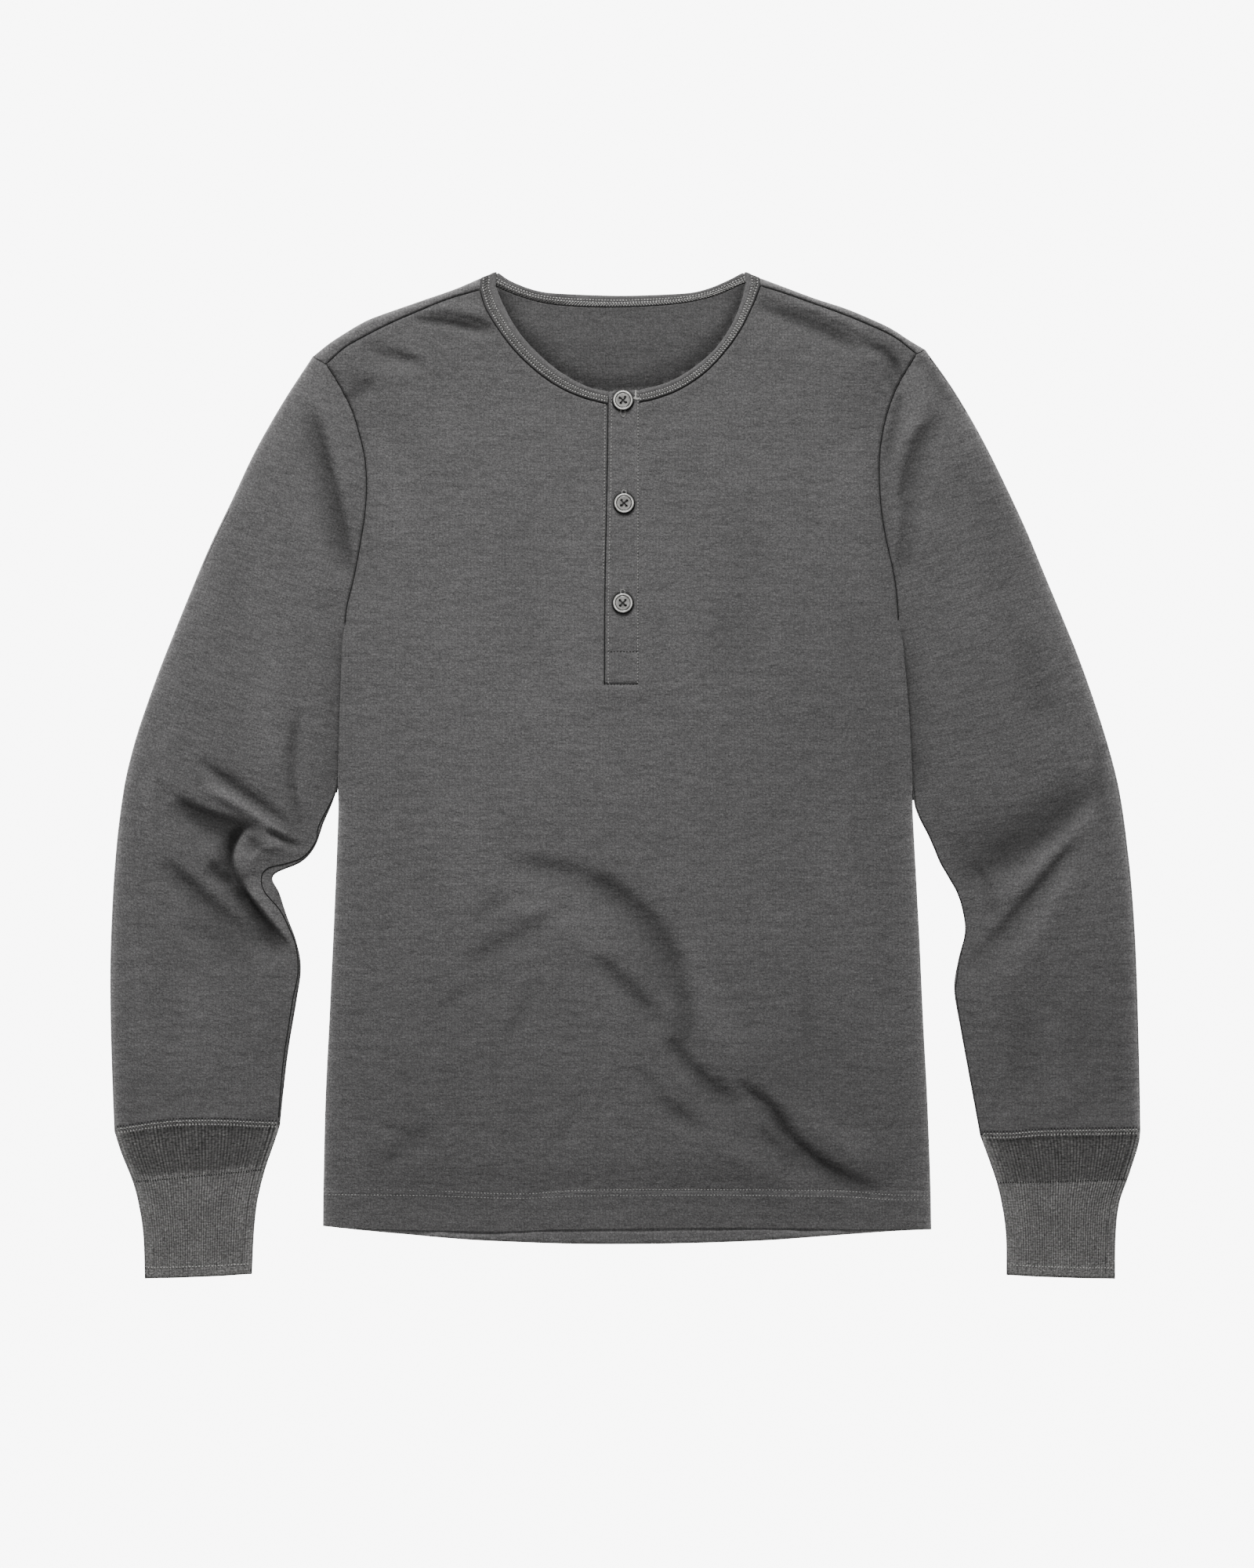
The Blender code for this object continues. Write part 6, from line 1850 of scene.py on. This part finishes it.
class HenleyColours(bpy.types.PropertyGroup):
    """Colours of the cloth, the threads, the buttons and the stage."""
    jersey: colour_property("Jersey", "Body, sleeves and placket", "#676666")
    binding: colour_property("Binding", "Strip round the neck", "#646363")
    rib: colour_property("Rib", "Cuffs", "#737271")
    thread: colour_property("Thread", "Stitches that show on the face", "#A3A2A0")
    bright_thread: colour_property("Bright Thread", "Stitches of the neck and cuffs", "#D2D1CE")
    looper: colour_property("Looper Thread", "Crossing threads between stitch rows", "#9B9A98")
    dark_thread: colour_property("Dark Thread", "Threads of the placket's box and the buttons", "#121111")
    # Painted shadow: colour of the dark ribbons in the seams and under edges that lie over
    seam: colour_property("Seam Line", "Dark lines down in the seams", "#0E0E0E")
    button: colour_property("Button", "Pearl plastic", "#8E8D8A")
    board: colour_property("Board", "Floor of the stage", "#F5F5F5")


class HENLEY_OT_body(bpy.types.Operator):
    """Make the front and the back of the body"""
    bl_idname = "henley.body"
    bl_label = "Front and Back"

    def execute(self, context):
        sizes = context.scene.henley_sizes
        cloth = shirt_jersey(context.scene.henley_colours)
        front = finish_piece(make_front(sizes), cloth, "front_panel")
        back = finish_piece(make_back(sizes), cloth, "back_panel")
        return {"FINISHED"}


class HENLEY_OT_sleeves(bpy.types.Operator):
    """Make the two sleeves"""
    bl_idname = "henley.sleeves"
    bl_label = "Sleeves"

    def execute(self, context):
        steps = context.scene.henley_sizes.cloth_steps + 1
        cloth = shirt_jersey(context.scene.henley_colours)
        for side, arm, seam in ARMS:
            sleeve = make_sleeve("sleeve_cloth_" + side, arm, seam, steps)
            finish_piece(sleeve, cloth, "sleeve_" + side)
        return {"FINISHED"}


class HENLEY_OT_cuffs(bpy.types.Operator):
    """Make the two ribbed cuffs"""
    bl_idname = "henley.cuffs"
    bl_label = "Cuffs"

    def execute(self, context):
        sizes = context.scene.henley_sizes
        rib = material_of("one_and_one_rib_knit", knit_rib, context.scene.henley_colours.rib)
        for side, arm, seam in ARMS:
            cuff = make_cuff("cuff_rib_" + side, arm, seam, sizes)
            finish_piece(cuff, rib, "cuff_" + side)
        return {"FINISHED"}


class HENLEY_OT_binding(bpy.types.Operator):
    """Make the strip that binds the neck"""
    bl_idname = "henley.binding"
    bl_label = "Neck Binding"

    def execute(self, context):
        colours = context.scene.henley_colours
        cloth = material_of("folded_jersey_binding", knit_jersey, colours.binding, 0.7)
        outer, inner = binding_surfaces()
        share = np.array([row[0] for row in BINDING_CROSS])
        tones = [np.tile(np.interp(share, *shades), len(outer))
                 for shades in (BINDING_TONES, BINDING_BACK_TONES)]
        band = strip("neck_binding_cloth", outer, inner, tone=tones)
        finish_piece(band, cloth, "neck_binding")
        return {"FINISHED"}


class HENLEY_OT_placket(bpy.types.Operator):
    """Make the two bands of the placket"""
    bl_idname = "henley.placket"
    bl_label = "Placket"

    def execute(self, context):
        cloth = shirt_jersey(context.scene.henley_colours)
        top, under = make_placket()
        finish_piece(top, cloth, "placket_top")
        finish_piece(under, cloth, "placket_under")
        return {"FINISHED"}


class HENLEY_OT_seams(bpy.types.Operator):
    """Make the dark ribbons of painted shadow down in the seams"""
    bl_idname = "henley.seams"
    bl_label = "Seam Lines"

    def execute(self, context):
        colours = context.scene.henley_colours
        dark = material_of("shaded_seam_thread", sewing_thread, colours.seam, 0.95, 0.15)
        finish_piece(make_seam_shadow_lines(context.scene.henley_sizes), dark, "front_panel", False)
        return {"FINISHED"}


class HENLEY_OT_stitching(bpy.types.Operator):
    """Make the stitches of the neck, placket, hem, buttonholes and cuffs"""
    bl_idname = "henley.stitching"
    bl_label = "Stitching"

    def execute(self, context):
        sizes = context.scene.henley_sizes
        colours = context.scene.henley_colours
        light = material_of("pale_spun_thread", sewing_thread, colours.thread)
        looper = material_of("grey_looper_thread", sewing_thread, colours.looper)
        dark = material_of("black_spun_thread", sewing_thread, colours.dark_thread)
        bright = material_of("bright_spun_thread", sewing_thread, colours.bright_thread)
        beads, loopers, chain = make_neck_sewing()
        sewn = [(beads, bright, "neck_binding"), (loopers, looper, "neck_binding"),
                (chain, bright, "neck_binding")]
        beads, box, tack = make_front_sewing(sizes)
        sewn += [(beads, light, "front_panel"), (box, dark, "placket_top"), (tack, bright, "placket_top"),
                 (make_buttonholes(), looper, "placket_top")]
        beads, marks, loopers = make_cuff_sewing()
        sewn += [(beads, bright, "cuff_right"), (marks, dark, "cuff_right"),
                 (loopers, light, "cuff_right")]
        for thing, thread, node in sewn:
            finish_piece(thing, thread, node, False)
        return {"FINISHED"}


class HENLEY_OT_buttons(bpy.types.Operator):
    """Make the three buttons and the thread that holds them"""
    bl_idname = "henley.buttons"
    bl_label = "Buttons"

    def execute(self, context):
        colours = context.scene.henley_colours
        plastic = material_of("grey_pearl_plastic", pearl_plastic, colours.button)
        dark = material_of("black_spun_thread", sewing_thread, colours.dark_thread)
        buttons, threads = make_buttons(context.scene.henley_sizes)
        for number, thing in enumerate(buttons, start=1):
            finish_piece(thing, plastic, "button_%d" % number)
        finish_piece(threads, dark, "button_1", False)
        return {"FINISHED"}


class HENLEY_OT_stage(bpy.types.Operator):
    """Make the floor, the lights and the camera straight above the shirt"""
    bl_idname = "henley.stage"
    bl_label = "Stage"

    def execute(self, context):
        scene = context.scene
        start_primitive()
        bpy.ops.mesh.primitive_plane_add(size=STAGE_SIZE, location=(0.0, 0.0, -0.4 * MM))
        floor = context.view_layer.objects.active
        floor.name = "studio_floor"
        board = material_of("pale_board", pale_board, scene.henley_colours.board, BOARD_GLOW)
        floor.data.materials.append(board)
        floor.visible_diffuse = False
        floor.visible_glossy = False
        for name, place, aim, size, power in LIGHTS:
            data = bpy.data.lights.new(name, "AREA")
            data.shape = "DISK"
            data.size = size
            data.energy = power
            lamp = bpy.data.objects.new(name, data)
            scene.collection.objects.link(lamp)
            lamp.location = place
            lamp.rotation_euler = (Vector(aim) - Vector(place)).to_track_quat("-Z", "Y").to_euler()
        world = bpy.data.worlds.new("studio_air")
        world.use_nodes = True
        air = world.node_tree.nodes["Background"].inputs
        air["Color"].default_value = (*linear("#F5F5F5"), 1.0)
        air["Strength"].default_value = AIR_STRENGTH
        scene.world = world
        data = bpy.data.cameras.new("camera_above")
        data.lens = CAMERA_LENS
        data.sensor_width = CAMERA_SENSOR
        camera = bpy.data.objects.new("camera_above", data)
        scene.collection.objects.link(camera)
        camera.location = (CAMERA_X, CAMERA_Y, VIEW_HEIGHT * CAMERA_LENS / CAMERA_SENSOR)
        scene.camera = camera
        return {"FINISHED"}


class HENLEY_PT_shirt(bpy.types.Panel):
    """Lists the shirt's sizes, colours and the steps that make it"""
    bl_idname = "HENLEY_PT_shirt"
    bl_label = "Henley Shirt"
    bl_space_type = "VIEW_3D"
    bl_region_type = "UI"
    bl_category = "Henley"

    def draw(self, context):
        for group in (context.scene.henley_sizes, context.scene.henley_colours):
            box = self.layout.box()
            for name in group.__annotations__:
                box.prop(group, name)
        for step in STEPS:
            self.layout.operator(step.bl_idname)


STEPS = (HENLEY_OT_body, HENLEY_OT_sleeves, HENLEY_OT_cuffs, HENLEY_OT_binding, HENLEY_OT_placket,
         HENLEY_OT_seams, HENLEY_OT_stitching, HENLEY_OT_buttons, HENLEY_OT_stage)
CLASSES = (HenleySizes, HenleyColours) + STEPS + (HENLEY_PT_shirt,)


def register():
    for one in CLASSES:
        bpy.utils.register_class(one)
    bpy.types.Scene.henley_sizes = PointerProperty(type=HenleySizes)
    bpy.types.Scene.henley_colours = PointerProperty(type=HenleyColours)


def unregister():
    del bpy.types.Scene.henley_colours
    del bpy.types.Scene.henley_sizes
    for one in reversed(CLASSES):
        bpy.utils.unregister_class(one)


def main():
    register()
    bpy.ops.henley.body()
    bpy.ops.henley.sleeves()
    bpy.ops.henley.cuffs()
    bpy.ops.henley.binding()
    bpy.ops.henley.placket()
    bpy.ops.henley.seams()
    bpy.ops.henley.stitching()
    bpy.ops.henley.buttons()
    bpy.ops.henley.stage()
    bpy.context.view_layer.update()


if __name__ == "__main__":
    main()
